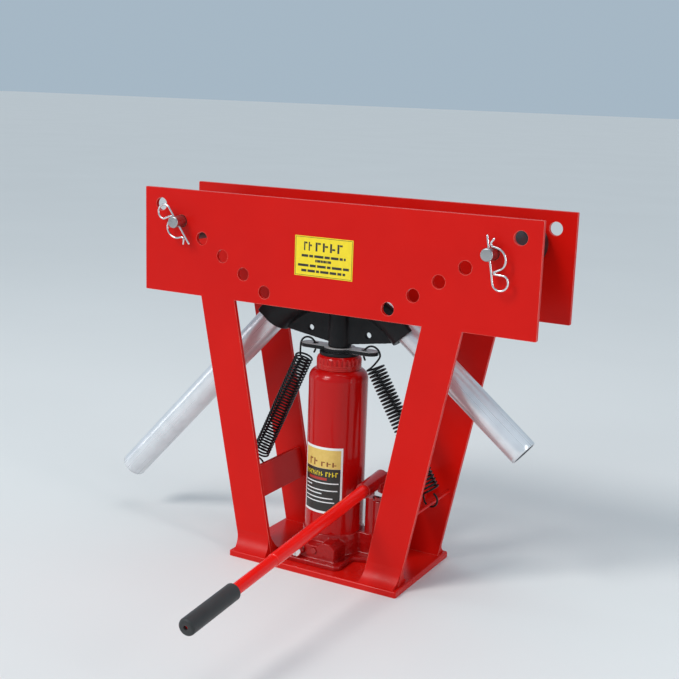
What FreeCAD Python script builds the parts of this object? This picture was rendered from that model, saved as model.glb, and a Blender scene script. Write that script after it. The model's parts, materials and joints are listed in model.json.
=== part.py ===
import FreeCAD, Part
import math
import os

# Hydraulic pipe bender: a welded red frame with a hand-pumped bottle jack that pushes a
# half-round die and the tube in it up between two grooved rollers.
# Millimetres. X runs along the beam, Y from the operator (-Y) to the back, Z up.
# The origin is the centre of the base plate's underside.

V = FreeCAD.Vector
X_AXIS = V(1, 0, 0)
Y_AXIS = V(0, 1, 0)
Z_AXIS = V(0, 0, 1)
SIDES = (("left", -1), ("right", 1))

# ---- driving dimensions: frame ----
BEAM_HALF = 320.0
BEAM_TOP = 556.0
BEAM_BOTTOM = 397.0
PLATE = 6.0
FRAME_OUT = 72.0
FRAME_IN = FRAME_OUT - PLATE
BASE_X = 143.5
BASE_Y = 92.0
BASE_T = 9.5
BASE_EDGE_R = 2.5
LEG_TOP_OUT = 214.9
LEG_TOP_IN = 154.6
LEG_FOOT_OUT = 138.0
LEG_FOOT_IN = 80.0
CORNER_R = 1.5

# ---- driving dimensions: pin holes, pins, rollers ----
HOLE_COUNT = 6
HOLE_R = 9.75
HOLE_FIRST = (101.8, 415.0)
HOLE_STEP = (37.6, 23.2)
PINNED_HOLE = 5
PIN_R = 9.0
PIN_FRONT = 95.0
PIN_HEAD_R = 15.0
PIN_HEAD_T = 6.0
CLIP_Y = -84.0
CLIP_WIRE_R = 1.5
CLIP_HOLE_R = 2.2
CLIP_SHIFT = 14.0
CLIP_OUTLINE = (
    (24.5, 0.0), (-49.2, 0.0), (-49.2, 22.0), (-31.0, 22.0), (-25.5, -2.0),
    (-19.0, 22.0), (3.0, 22.0), (11.5, 1.0), (19.5, 9.0),
)
CLIP_RADII = (10.8, 10.8, 8.0, 1.8, 13.0, 17.0, 4.0)
ROLLER_R = 31.0
ROLLER_WAIST_R = 24.0
ROLLER_HALF = 59.0
ROLLER_GROOVE_R = 23.0
RUN_CLEARANCE = 0.05

# ---- driving dimensions: spring anchors ----
CROSS_TOP = (115.0, 140.0)
CROSS_FOOT = (104.0, 93.0)
SPRING_ROD = (150.0, 117.0)
SPRING_ROD_R = 2.5
COIL_R = 14.6
SPRING_WIRE_R = 1.5
SPRING_TOP_X = 60.0
SPRING_TOP_Z = 312.0
SPRING_FOOT_Z = 138.0
HOOK_R = 11.5
HOOK_GAP = 0.2
HOOK_RISE = 7.0

# ---- driving dimensions: foot welds (plate face, side it stands on, reach over the base, rise) ----
FOOT_WELDS = ((-FRAME_OUT, -1, 17.0, 28.0), (-FRAME_IN, 1, 23.0, 37.0), (FRAME_OUT, 1, 17.0, 28.0))
WELD_INSET = 1.0

# ---- driving dimensions: jack ----
JACK_X = -11.3
JACK_FLANGE_TOP = 17.0
JACK_BASE_TOP = 50.0
DRUM_R = 48.0
VALVE_BLOCK = (-46.0, 27.0, 37.5)
BLOCK_FRONT_Y = -66.0
BLOCK_REAR_Y = -32.0
RIB_OUTLINE = (
    (0.0, BASE_T), (0.0, 39.0), (5.0, 44.5), (19.0, 44.5), (27.0, 37.0), (27.0, BASE_T),
)
FLANGE_OUTLINE = (
    (-73.0, -66.0), (-63.0, -76.0), (33.0, -76.0), (39.0, -70.0), (39.0, -28.0),
    (86.0, -13.0), (86.0, 34.0), (39.0, 48.0), (39.0, 56.0), (31.0, 64.0), (-63.0, 64.0), (-73.0, 54.0),
)
PASSAGE_Z = 30.0
RESERVOIR_R = 45.0
RESERVOIR_WALL = 3.5
SHOULDER_Z = 286.0
SHOULDER_R = 16.0
NECK_BORE_R = 31.0
NUT_BOTTOM = SHOULDER_Z + SHOULDER_R
NUT_TOP = 322.0
NUT_R = 34.0
NUT_SKIRT = 282.0
NUT_RING_DEPTH = 0.8
NUT_RING_PITCH = 2.0
FLUTE_COUNT = 28
FLUTE_R = 2.6
FLUTE_DEPTH = 1.5
WIPER_R = 22.0
WIPER_Z = 318.0
PACKING_R = 24.0
PACKING_FOOT = 300.0
PACKING_TOP = 306.0
CYLINDER_OR = 28.0
CYLINDER_IR = 22.5
CYLINDER_FOOT = 40.0
CYLINDER_TOP = 296.0
RAM_R = 19.0
RAM_FOOT = 62.0
PISTON_R = 22.2
PISTON_T = 10.0
STACK_GAP = 0.5
SADDLE_R = 30.0
SADDLE_T = 5.0
SADDLE_SPIGOT_R = 10.0
SADDLE_SPIGOT_H = 34.0
EAR_PLATE_T = 6.0
EAR_REACH = 64.5
EAR_WIDTH = 26.0
EAR_CENTRE_R = 24.0
EAR_HOLE_X = 41.0
EAR_HOLE_R = 4.5

# ---- driving dimensions: die and tube ----
BEND_Z = 271.0
BEND_R = 150.0
TUBE_R = 21.0
TUBE_WALL = 3.0
TUBE_LEFT_SLOPE = 46.8
TUBE_RIGHT_SLOPE = 39.0
TUBE_LEFT_LEG = 413.0
TUBE_RIGHT_LEG = 265.0
GROOVE_GAP = 0.25
DIE_WALL = 7.75
DIE_RIM_R = 168.0
DIE_HALF_ANGLE = 50.5
WEB_END_ANGLE = DIE_HALF_ANGLE - 0.5
WEB_FOOT = (20.0, 339.5)
WEB_T = 7.0
WEB_HOLE = (49.0, 357.0)
WEB_HOLE_R = 4.5
BOSS_FOOT_R = 17.6
BOSS_TOP_R = 16.0

# ---- driving dimensions: pump and lever ----
PUMP_X = 66.0
PUMP_Y = 8.0
PUMP_R = 14.0
PUMP_TOP = 104.0
PUMP_RIB_X = 52.0
PUMP_RIB_R = 12.0
PUMP_RIB_TOP = 107.0
PLUNGER_R = 6.0
PLUNGER_PIN_Z = 120.0
LEVER_ARM = 28.0
LEVER_START = 20.0
LEVER_PIN_R = 4.0
FULCRUM_Y = PUMP_Y + LEVER_ARM * math.cos(math.radians(LEVER_START))
FULCRUM_Z = PLUNGER_PIN_Z + LEVER_ARM * math.sin(math.radians(LEVER_START))
CHEEK_IN = 8.5
CHEEK_T = 4.0
LINK_IN = 12.9
LINK_T = 4.0
LINK_PIN_Z = 94.0
HANDLE_DIP = 5.015
HANDLE_Z0 = 140.8
SOCKET_R = 11.75
SOCKET_BORE_R = 9.3
SOCKET_MOUTH_Y = -55.0
SOCKET_REAR_Y = 5.0
BAR_R = 9.0
BAR_REAR_Y = -4.0
BAR_JOINT_Y = -300.0
GRIP_R = 11.5
GRIP_LENGTH = 98.0
HANDLE_END_Y = -488.0

# ---- driving dimensions: valves and labels ----
VALVE_X = -32.0
VALVE_Z = 28.0
VALVE_R = 6.0
PLUG_Z = 240.0
PLUG_R = 5.0
PLUG_HEAD_R = 7.5
BEAM_LABEL = (-50.3, 44.7, 447.3, 505.2)
LABEL_T = 0.5
JACK_LABEL_ANGLES = (-46.0, 42.4)
JACK_LABEL_Z = (83.0, 187.0)


# ---- helpers ----
def save(shape, node):
    """Write one node's STEP file and report its size."""
    if shape.ShapeType == "Compound" and len(shape.Solids) == 1:
        shape = shape.Solids[0]
    shape.exportStep(os.path.join("parts", node + ".step"))
    print(node, len(shape.Solids), "solids", round(shape.Volume / 1000.0, 2), "cm3", shape.isValid())


def cylinder(radius, start, end):
    """A solid cylinder between two points."""
    axis = end - start
    return Part.makeCylinder(radius, axis.Length, start, axis)


def ring(outer, inner, start, end):
    """A straight tube between two points."""
    return cylinder(outer, start, end).cut(cylinder(inner, start, end))


def jack_point(z, x=0.0, y=0.0):
    """A point given from the jack's axis."""
    return V(JACK_X + x, y, z)


def prism_y(outline, y_from, y_to):
    """Extrude a closed outline of (x, z) points along Y."""
    points = [V(x, y_from, z) for x, z in outline]
    face = Part.Face(Part.makePolygon(points + points[:1]))
    return face.extrude(V(0, y_to - y_from, 0))


def prism_x(outline, x_from, x_to):
    """Extrude a closed outline of (y, z) points along X."""
    points = [V(x_from, y, z) for y, z in outline]
    face = Part.Face(Part.makePolygon(points + points[:1]))
    return face.extrude(V(x_to - x_from, 0, 0))


def turned(profile, z_axis_x=JACK_X, z_axis_y=0.0):
    """Revolve a closed outline of (radius, z) points about a vertical axis."""
    points = [V(z_axis_x + r, z_axis_y, z) for r, z in profile]
    face = Part.Face(Part.makePolygon(points + points[:1]))
    return face.revolve(V(z_axis_x, z_axis_y, 0), Z_AXIS, 360)


def rounded_path(points, radii):
    """A wire of straight runs joined by tangent arcs; radii belong to the inner points."""
    edges = []
    start = points[0]
    for before, corner, after, radius in zip(points, points[1:], points[2:], radii):
        back = (before - corner).normalize()
        ahead = (after - corner).normalize()
        half = back.getAngle(ahead) / 2.0
        setback = radius / math.tan(half)
        centre = corner + (back + ahead).normalize() * (radius / math.sin(half))
        enter = corner + back * setback
        leave = corner + ahead * setback
        middle = centre + (corner - centre).normalize() * radius
        edges.append(Part.LineSegment(start, enter).toShape())
        edges.append(Part.Arc(enter, middle, leave).toShape())
        start = leave
    edges.append(Part.LineSegment(start, points[-1]).toShape())
    return Part.Wire(edges)


def wire_rod(points, radii, wire_r):
    """Round bar bent along straight runs and tangent arcs."""
    path = rounded_path(points, radii)
    first_run = points[1] - points[0]
    section = Part.Wire(Part.makeCircle(wire_r, points[0], first_run))
    return path.makePipeShell([section], True, False)


def hexagon(across_flats, start, height):
    """A vertical hexagonal prism."""
    corner_r = across_flats / math.sqrt(3.0)
    turns = [math.radians(60 * k) for k in range(6)]
    points = [start + V(corner_r * math.cos(t), corner_r * math.sin(t), 0) for t in turns]
    return Part.Face(Part.makePolygon(points + points[:1])).extrude(V(0, 0, height))


def fuse_all(shapes):
    """Union of a list of solids as one clean solid."""
    return shapes[0].multiFuse(shapes[1:]).removeSplitter()


# ---- frame ----
def pin_hole_places():
    """(x, z) of each pin hole on the right side, the inner one first."""
    return [(HOLE_FIRST[0] + HOLE_STEP[0] * k, HOLE_FIRST[1] + HOLE_STEP[1] * k) for k in range(HOLE_COUNT)]


def pinned_place(side):
    """(x, z) of the hole that holds the roller pin on one side."""
    x, z = pin_hole_places()[PINNED_HOLE - 1]
    return side * x, z


def make_side_plate(y_from):
    """Beam plate with its two slanted legs, cut from one sheet, with the rows of pin holes."""
    half = [
        (BEAM_HALF, BEAM_TOP),
        (BEAM_HALF, BEAM_BOTTOM),
        (LEG_TOP_OUT, BEAM_BOTTOM),
        (LEG_FOOT_OUT, BASE_T),
        (LEG_FOOT_IN, BASE_T),
        (LEG_TOP_IN, BEAM_BOTTOM),
    ]
    outline = half + [(-x, z) for x, z in reversed(half)]
    plate = prism_y(outline, y_from, y_from + PLATE)
    corners = [
        edge for edge in plate.Edges
        if abs(abs(edge.CenterOfMass.x) - BEAM_HALF) < 1e-6 and abs(edge.Length - PLATE) < 1e-6
    ]
    plate = plate.makeFillet(CORNER_R, corners)
    for x, z in pin_hole_places():
        for side in (-1, 1):
            start = V(side * x, y_from - 1, z)
            plate = plate.cut(cylinder(HOLE_R, start, start + Y_AXIS * (PLATE + 2)))
    return plate


def make_base_plate():
    """Flat rectangular base with softened top edges."""
    plate = Part.makeBox(2 * BASE_X, 2 * BASE_Y, BASE_T, V(-BASE_X, -BASE_Y, 0))
    upper = [edge for edge in plate.Edges if edge.CenterOfMass.z > BASE_T / 4]
    return plate.makeFillet(BASE_EDGE_R, upper)


def make_cross_plate(side):
    """Slanted plate that ties the front and back legs together, parallel to the legs."""
    top_x, top_z = CROSS_TOP
    foot_x, foot_z = CROSS_FOOT
    outline = [(top_x, top_z), (foot_x, foot_z), (foot_x + PLATE, foot_z), (top_x + PLATE, top_z)]
    return prism_y([(side * x, z) for x, z in outline], -FRAME_IN, FRAME_IN)


def make_spring_rod(side):
    """Round cross bar that the lower spring hook holds on to."""
    x, z = SPRING_ROD
    return cylinder(SPRING_ROD_R, V(side * x, -FRAME_IN, z), V(side * x, FRAME_IN, z))


def leg_outline(side, inset):
    """Outline of one slanted leg, drawn in from both edges."""
    return [
        (side * (LEG_FOOT_IN + inset), BASE_T), (side * (LEG_FOOT_OUT - inset), BASE_T),
        (side * (LEG_TOP_OUT - inset), BEAM_BOTTOM), (side * (LEG_TOP_IN + inset), BEAM_BOTTOM),
    ]


def make_foot_welds():
    """Concave weld fillets, tangent to the legs, between the legs and the base plate."""
    welds = []
    for wall, face, reach, rise in FOOT_WELDS:
        root = V(-BASE_X, wall, BASE_T)
        toe = V(-BASE_X, wall + face * reach, BASE_T)
        crown = V(-BASE_X, wall, BASE_T + rise)
        radius = (reach ** 2 + rise ** 2) / (2 * reach)
        turn = math.asin(rise / radius) / 2
        hollow = V(-BASE_X, wall + face * radius * (1 - math.cos(turn)), crown.z - radius * math.sin(turn))
        edges = [
            Part.LineSegment(root, toe).toShape(),
            Part.Arc(toe, hollow, crown).toShape(),
            Part.LineSegment(crown, root).toShape(),
        ]
        bar = Part.makeSolid(Part.Shell(Part.Face(Part.Wire(edges)).extrude(V(2 * BASE_X, 0, 0)).Faces))
        if bar.Volume < 0:
            bar.reverse()
        for side in (-1, 1):
            leg = prism_y(leg_outline(side, WELD_INSET), -BASE_Y, BASE_Y)
            welds += bar.common(leg).Solids
    return Part.makeCompound(welds)


def make_beam_label():
    """Thin rectangular plate on the beam's front face."""
    x_from, x_to, z_from, z_to = BEAM_LABEL
    return Part.makeBox(x_to - x_from, LABEL_T, z_to - z_from, V(x_from, -FRAME_OUT - LABEL_T, z_from))


# ---- pins, clips, rollers ----
def clip_direction(side):
    """Unit vectors of a clip: along its straight leg towards the tips, and to its curved leg."""
    along = V(-0.170, 0, 0.985) if side > 0 else V(0.583, 0, -0.812)
    bulge = V(along.z, 0, -along.x)
    return along, bulge


def make_roller_pin(side):
    """Headed pin through both plates, cross-drilled in front for its clip."""
    x, z = pinned_place(side)
    back = FRAME_OUT + PIN_HEAD_T
    pin = cylinder(PIN_R, V(x, -PIN_FRONT, z), V(x, back, z))
    head = cylinder(PIN_HEAD_R, V(x, FRAME_OUT, z), V(x, back, z))
    pin = pin.fuse(head).removeSplitter()
    ends = [edge for edge in pin.Edges if abs(edge.CenterOfMass.y + PIN_FRONT) < 1e-6]
    pin = pin.makeChamfer(1.0, ends)
    along, _ = clip_direction(side)
    middle = V(x, CLIP_Y, z)
    return pin.cut(cylinder(CLIP_HOLE_R, middle - along * 2 * PIN_R, middle + along * 2 * PIN_R))


def make_pin_clip(side):
    """Spring-wire clip: a straight leg through the pin, a round eye and a leg curved about the pin."""
    along, bulge = clip_direction(side)
    x, z = pinned_place(side)
    middle = V(x, CLIP_Y, z) + along * (0 if side > 0 else CLIP_SHIFT)
    points = [middle + along * a + bulge * b for a, b in CLIP_OUTLINE]
    return wire_rod(points, CLIP_RADII, CLIP_WIRE_R)


def make_roller(side):
    """Black roller with a half-round groove for the tube."""
    x, z = pinned_place(side)
    axis_from = V(x, -ROLLER_HALF, z)
    axis_to = V(x, ROLLER_HALF, z)
    body = cylinder(ROLLER_R, axis_from, axis_to)
    rims = [edge for edge in body.Edges if abs(abs(edge.CenterOfMass.y) - ROLLER_HALF) < 1e-6]
    body = body.makeFillet(2.0, rims)
    groove = Part.makeTorus(ROLLER_WAIST_R + ROLLER_GROOVE_R, ROLLER_GROOVE_R, V(x, 0, z), Y_AXIS)
    bore = cylinder(PIN_R + RUN_CLEARANCE, axis_from, axis_to)
    return body.cut(groove).cut(bore)


# ---- jack ----
def make_jack_base():
    """Cast foot of the jack with its flange, valve block and pump pedestal."""
    points = [V(x, y, BASE_T) for x, y in FLANGE_OUTLINE]
    flange = Part.Face(Part.makePolygon(points + points[:1])).extrude(V(0, 0, JACK_FLANGE_TOP - BASE_T))
    upper = [edge for edge in flange.Edges if abs(edge.CenterOfMass.z - JACK_FLANGE_TOP) < 1e-6]
    flange = flange.makeFillet(2.5, upper)
    drum = turned([
        (0, BASE_T), (DRUM_R, BASE_T), (DRUM_R, JACK_BASE_TOP - 10.0),
        (RESERVOIR_R + 2, JACK_BASE_TOP), (0, JACK_BASE_TOP),
    ])
    block_x, block_right, block_top = VALVE_BLOCK
    front_block = prism_y(
        [(block_x, BASE_T), (block_right, BASE_T), (block_right, block_top), (block_x, block_top)],
        BLOCK_FRONT_Y, BLOCK_REAR_Y)
    front_rib = prism_y(RIB_OUTLINE, BLOCK_FRONT_Y, BLOCK_REAR_Y)
    pedestal = cylinder(PUMP_R + 4, V(PUMP_X, PUMP_Y, BASE_T), V(PUMP_X, PUMP_Y, JACK_BASE_TOP))
    bridge = Part.makeBox(
        PUMP_X - JACK_X, 2 * PUMP_R, JACK_BASE_TOP - BASE_T, V(JACK_X, PUMP_Y - PUMP_R, BASE_T))
    body = fuse_all([flange, drum, front_block, front_rib, pedestal, bridge])
    passage_foot = jack_point(PASSAGE_Z, 10.0, PUMP_Y)
    cuts = [
        cylinder(CYLINDER_OR, jack_point(CYLINDER_FOOT), jack_point(JACK_BASE_TOP)),
        ring(RESERVOIR_R - 1.5, RESERVOIR_R - 5, jack_point(JACK_BASE_TOP - 2), jack_point(JACK_BASE_TOP)),
        cylinder(VALVE_R + RUN_CLEARANCE, V(VALVE_X, -70.0, VALVE_Z), V(VALVE_X, -44.0, VALVE_Z)),
        cylinder(4.2, V(PUMP_X, PUMP_Y, 26.0), V(PUMP_X, PUMP_Y, JACK_BASE_TOP)),
        cylinder(2.5, V(PUMP_X, PUMP_Y, PASSAGE_Z), passage_foot),
        cylinder(2.5, passage_foot, jack_point(CYLINDER_FOOT, 10.0, PUMP_Y)),
        cylinder(4.5, V(-8.0, -70.0, PASSAGE_Z), V(-8.0, -56.0, PASSAGE_Z)),
        cylinder(5.0, V(PUMP_X, PUMP_Y - 24.0, 27.0), V(PUMP_X, PUMP_Y - 8.0, 27.0)),
    ]
    for cut in cuts:
        body = body.cut(cut)
    return body


def plug_cylinder(radius, inward, outward):
    """A cylinder on the filler plug's axis; distances are from the reservoir's outer face."""
    start = jack_point(PLUG_Z, 0, RESERVOIR_R + inward)
    return cylinder(radius, start, jack_point(PLUG_Z, 0, RESERVOIR_R + outward))


def make_reservoir():
    """Outer oil tube with a rounded shoulder that closes in to the top nut."""
    inner = RESERVOIR_R - RESERVOIR_WALL
    neck = RESERVOIR_R - SHOULDER_R
    bore = neck - 2.0
    lean = SHOULDER_R * math.sqrt(0.5)

    def at(radius, z):
        return V(JACK_X + radius, 0, z)

    inner_r = SHOULDER_R - RESERVOIR_WALL
    inner_lean = inner_r * math.sqrt(0.5)
    edges = [
        Part.LineSegment(at(inner, JACK_BASE_TOP), at(RESERVOIR_R, JACK_BASE_TOP)).toShape(),
        Part.LineSegment(at(RESERVOIR_R, JACK_BASE_TOP), at(RESERVOIR_R, SHOULDER_Z)).toShape(),
        Part.Arc(at(RESERVOIR_R, SHOULDER_Z), at(neck + lean, SHOULDER_Z + lean),
                 at(neck, NUT_BOTTOM)).toShape(),
        Part.LineSegment(at(neck, NUT_BOTTOM), at(bore, NUT_BOTTOM)).toShape(),
        Part.LineSegment(at(bore, NUT_BOTTOM), at(bore, SHOULDER_Z + inner_r)).toShape(),
        Part.LineSegment(at(bore, SHOULDER_Z + inner_r), at(neck, SHOULDER_Z + inner_r)).toShape(),
        Part.Arc(at(neck, SHOULDER_Z + inner_r), at(neck + inner_lean, SHOULDER_Z + inner_lean),
                 at(inner, SHOULDER_Z)).toShape(),
        Part.LineSegment(at(inner, SHOULDER_Z), at(inner, JACK_BASE_TOP)).toShape(),
    ]
    shell = Part.Face(Part.Wire(edges)).revolve(V(JACK_X, 0, 0), Z_AXIS, 360)
    shell = shell.cut(cylinder(NECK_BORE_R, jack_point(SHOULDER_Z), jack_point(NUT_BOTTOM)))
    return shell.cut(plug_cylinder(PLUG_R, -10.0, 10.0))


def make_top_nut():
    """Ringed and fluted cap nut that holds the cylinder down and guides the ram."""
    spigot_r = NECK_BORE_R - 0.2
    guide_r = RAM_R + RUN_CLEARANCE
    outline = [
        (guide_r, CYLINDER_TOP), (CYLINDER_OR + 0.1, CYLINDER_TOP), (CYLINDER_OR + 0.1, NUT_SKIRT),
        (spigot_r, NUT_SKIRT), (spigot_r, NUT_BOTTOM),
    ]
    z = NUT_BOTTOM
    for step in range(2):
        outline += [
            (NUT_R, z), (NUT_R, z + NUT_RING_PITCH),
            (NUT_R - NUT_RING_DEPTH, z + NUT_RING_PITCH + 0.4),
            (NUT_R - NUT_RING_DEPTH, z + NUT_RING_PITCH + 0.8),
        ]
        z += NUT_RING_PITCH + 1.2
    outline += [
        (NUT_R, z), (NUT_R, 316.0), (NUT_R - 1.5, 319.5), (NUT_R - 4.0, NUT_TOP),
        (WIPER_R, NUT_TOP), (WIPER_R, WIPER_Z), (guide_r, WIPER_Z),
        (guide_r, PACKING_TOP), (PACKING_R, PACKING_TOP), (PACKING_R, PACKING_FOOT), (guide_r, PACKING_FOOT),
    ]
    nut = turned(outline)
    flute_at = NUT_R + FLUTE_R - FLUTE_DEPTH
    flutes = []
    for k in range(FLUTE_COUNT):
        turn = 2 * math.pi * k / FLUTE_COUNT
        centre = jack_point(z + 1.0, flute_at * math.cos(turn), flute_at * math.sin(turn))
        flutes.append(cylinder(FLUTE_R, centre, centre + Z_AXIS * NUT_R))
    return nut.cut(Part.makeCompound(flutes))


def make_saddle():
    """Black disc on top of the ram with the spigot that centres the ear plate and the die."""
    bottom = NUT_TOP + STACK_GAP
    top = bottom + SADDLE_T
    disc = cylinder(SADDLE_R, jack_point(bottom), jack_point(top))
    disc = disc.makeFillet(1.2, [e for e in disc.Edges if e.Closed and e.CenterOfMass.z > 0])
    spigot = cylinder(SADDLE_SPIGOT_R, jack_point(top), jack_point(top + SADDLE_SPIGOT_H))
    return disc.fuse(spigot).removeSplitter()


def make_ear_plate():
    """Zinc strip with rounded ends and a hole near each for the springs' upper hooks."""
    bottom = NUT_TOP + STACK_GAP + SADDLE_T
    tip_r = EAR_WIDTH / 2.0
    reach = EAR_REACH - tip_r
    strip = Part.makeBox(2 * reach, EAR_WIDTH, EAR_PLATE_T, V(JACK_X - reach, -tip_r, bottom))

    def disc(radius, x):
        return cylinder(radius, jack_point(bottom, x), jack_point(bottom + EAR_PLATE_T, x))

    plate = fuse_all([strip, disc(EAR_CENTRE_R, 0), disc(tip_r, -reach), disc(tip_r, reach)])
    for radius, x in ((SADDLE_SPIGOT_R, 0), (EAR_HOLE_R, -EAR_HOLE_X), (EAR_HOLE_R, EAR_HOLE_X)):
        plate = plate.cut(disc(radius, x))
    return plate


# ---- die and tube ----
def die_profile():
    """Deep U section of the die's channel, standing at the top of the bend."""
    groove = TUBE_R + GROOVE_GAP
    outer = groove + DIE_WALL

    def at(y, radius):
        return V(JACK_X, y, BEND_Z + radius)

    edges = [
        Part.LineSegment(at(-outer, DIE_RIM_R), at(-outer, BEND_R)).toShape(),
        Part.Arc(at(-outer, BEND_R), at(0, BEND_R - outer), at(outer, BEND_R)).toShape(),
        Part.LineSegment(at(outer, BEND_R), at(outer, DIE_RIM_R)).toShape(),
        Part.LineSegment(at(outer, DIE_RIM_R), at(groove, DIE_RIM_R)).toShape(),
        Part.LineSegment(at(groove, DIE_RIM_R), at(groove, BEND_R)).toShape(),
        Part.Arc(at(groove, BEND_R), at(0, BEND_R - groove), at(-groove, BEND_R)).toShape(),
        Part.LineSegment(at(-groove, BEND_R), at(-groove, DIE_RIM_R)).toShape(),
        Part.LineSegment(at(-groove, DIE_RIM_R), at(-outer, DIE_RIM_R)).toShape(),
    ]
    return Part.Face(Part.Wire(edges))


def make_die():
    """Cast half-round bending die: curved channel, flat web and round boss in one piece."""
    centre = V(JACK_X, 0, BEND_Z)
    profile = die_profile()
    profile.rotate(centre, Y_AXIS, -DIE_HALF_ANGLE)
    channel = profile.revolve(centre, Y_AXIS, 2 * DIE_HALF_ANGLE)
    foot_z = NUT_TOP + STACK_GAP + SADDLE_T + EAR_PLATE_T
    keel = BEND_R - TUBE_R - GROOVE_GAP - DIE_WALL / 2.0
    web_end = math.radians(WEB_END_ANGLE)
    foot_x, web_foot_z = WEB_FOOT
    turns = [web_end * (1 - k / 12.0) for k in range(25)]
    arc = [(JACK_X + keel * math.sin(t), BEND_Z + keel * math.cos(t)) for t in turns]
    foot = [(JACK_X - foot_x, web_foot_z), (JACK_X + foot_x, web_foot_z)]
    web = prism_y(arc + foot, -WEB_T / 2.0, WEB_T / 2.0)
    boss = Part.makeCone(BOSS_FOOT_R, BOSS_TOP_R, BEND_Z + keel - foot_z, jack_point(foot_z), Z_AXIS)
    die = fuse_all([channel, web, boss])
    socket_top = jack_point(foot_z + SADDLE_SPIGOT_H - EAR_PLATE_T)
    die = die.cut(cylinder(SADDLE_SPIGOT_R, jack_point(foot_z), socket_top))
    for side in (-1, 1):
        hole_x = JACK_X + side * WEB_HOLE[0]
        die = die.cut(cylinder(WEB_HOLE_R, V(hole_x, -WEB_T, WEB_HOLE[1]), V(hole_x, WEB_T, WEB_HOLE[1])))
    return die


def make_bent_tube():
    """The workpiece: a straight steel tube bent over the die."""
    centre = V(JACK_X, 0, BEND_Z)
    top = V(JACK_X, 0, BEND_Z + BEND_R)
    legs = [(-1, TUBE_LEFT_SLOPE, TUBE_LEFT_LEG), (1, TUBE_RIGHT_SLOPE, TUBE_RIGHT_LEG)]

    def swept(radius):
        section = Part.Face(Part.Wire(Part.makeCircle(radius, top, X_AXIS)))
        section.rotate(centre, Y_AXIS, -TUBE_LEFT_SLOPE)
        pieces = [section.revolve(centre, Y_AXIS, TUBE_LEFT_SLOPE + TUBE_RIGHT_SLOPE)]
        for side, slope, length in legs:
            turn = math.radians(slope)
            start = centre + V(side * math.sin(turn), 0, math.cos(turn)) * BEND_R
            end = start + V(side * math.cos(turn), 0, -math.sin(turn)) * length
            pieces.append(cylinder(radius, start, end))
        return fuse_all(pieces)

    return swept(TUBE_R).cut(swept(TUBE_R - TUBE_WALL))


# ---- return springs ----
def spring_line(side):
    """Ends of a spring's coiled body, the top end first."""
    top = V(JACK_X + side * SPRING_TOP_X, 0, SPRING_TOP_Z)
    foot = V(side * SPRING_ROD[0], 0, SPRING_FOOT_Z)
    return top, foot


def make_return_spring(side):
    """Stand-in for an extension spring: its coiled body as a tube, with a hook at each end."""
    top, foot = spring_line(side)
    body = ring(COIL_R, COIL_R - 2 * SPRING_WIRE_R, top, foot)
    out = (top - foot).normalize()
    outer = V(out.z, 0, -out.x) * (side * (COIL_R - SPRING_WIRE_R))
    hole_x = JACK_X + side * EAR_HOLE_X
    around_x = JACK_X + side * (EAR_REACH + 4.5)
    ear_top = NUT_TOP + STACK_GAP + SADDLE_T + EAR_PLATE_T
    upper = [
        top + outer - out * 2, V(around_x, 0, ear_top + HOOK_RISE),
        V(hole_x, 0, ear_top + HOOK_RISE), V(hole_x, 0, ear_top - EAR_PLATE_T - HOOK_RISE),
    ]
    rod_x, rod_z = SPRING_ROD
    under = rod_z - SPRING_ROD_R - SPRING_WIRE_R - HOOK_GAP
    inner_x, outer_x = side * (rod_x - HOOK_R), side * (rod_x + HOOK_R)
    lower = [
        foot - outer + out * 2, V(inner_x, 0, under + 2 * HOOK_R), V(inner_x, 0, under),
        V(outer_x, 0, under), V(outer_x, 0, under + 2 * HOOK_R - 4.0),
    ]
    bend = HOOK_R - 0.3
    pieces = [
        body,
        wire_rod(upper, [HOOK_RISE, HOOK_RISE], SPRING_WIRE_R),
        wire_rod(lower, [3.0, bend, bend], SPRING_WIRE_R),
    ]
    return fuse_all(pieces)


# ---- pump and lever ----
def handle_point(y, x=PUMP_X):
    """A point on the handle's centre line."""
    return V(x, y, HANDLE_Z0 + y * math.tan(math.radians(HANDLE_DIP)))


def make_pump_cylinder():
    """Small pump barrel with the rear lug that carries the fulcrum links."""
    barrel = cylinder(PUMP_R, V(PUMP_X, PUMP_Y, JACK_BASE_TOP), V(PUMP_X, PUMP_Y, PUMP_TOP))
    lug = Part.makeBox(25.0, FULCRUM_Y - PUMP_Y, 22.0, V(PUMP_X - 12.5, PUMP_Y, PUMP_TOP - 22.0))
    lug_end = cylinder(10.0, V(PUMP_X - 12.5, FULCRUM_Y, LINK_PIN_Z), V(PUMP_X + 12.5, FULCRUM_Y, LINK_PIN_Z))
    rib = cylinder(PUMP_RIB_R, V(PUMP_RIB_X, PUMP_Y, JACK_BASE_TOP), V(PUMP_RIB_X, PUMP_Y, PUMP_RIB_TOP))
    rib = rib.cut(cylinder(PUMP_R, V(PUMP_X, PUMP_Y, PUMP_TOP), V(PUMP_X, PUMP_Y, PUMP_RIB_TOP)))
    body = fuse_all([barrel, lug, lug_end, rib])
    cuts = [
        cylinder(PLUNGER_R + 0.3, V(PUMP_X, PUMP_Y, 56.0), V(PUMP_X, PUMP_Y, PUMP_TOP)),
        cylinder(8.0, V(PUMP_X, PUMP_Y, PUMP_TOP - 12.0), V(PUMP_X, PUMP_Y, PUMP_TOP)),
        cylinder(2.0, V(PUMP_X, PUMP_Y, JACK_BASE_TOP), V(PUMP_X, PUMP_Y, 56.0)),
        cylinder(LEVER_PIN_R, V(PUMP_X - 13, FULCRUM_Y, LINK_PIN_Z), V(PUMP_X + 13, FULCRUM_Y, LINK_PIN_Z)),
    ]
    for cut in cuts:
        body = body.cut(cut)
    return body


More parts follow.
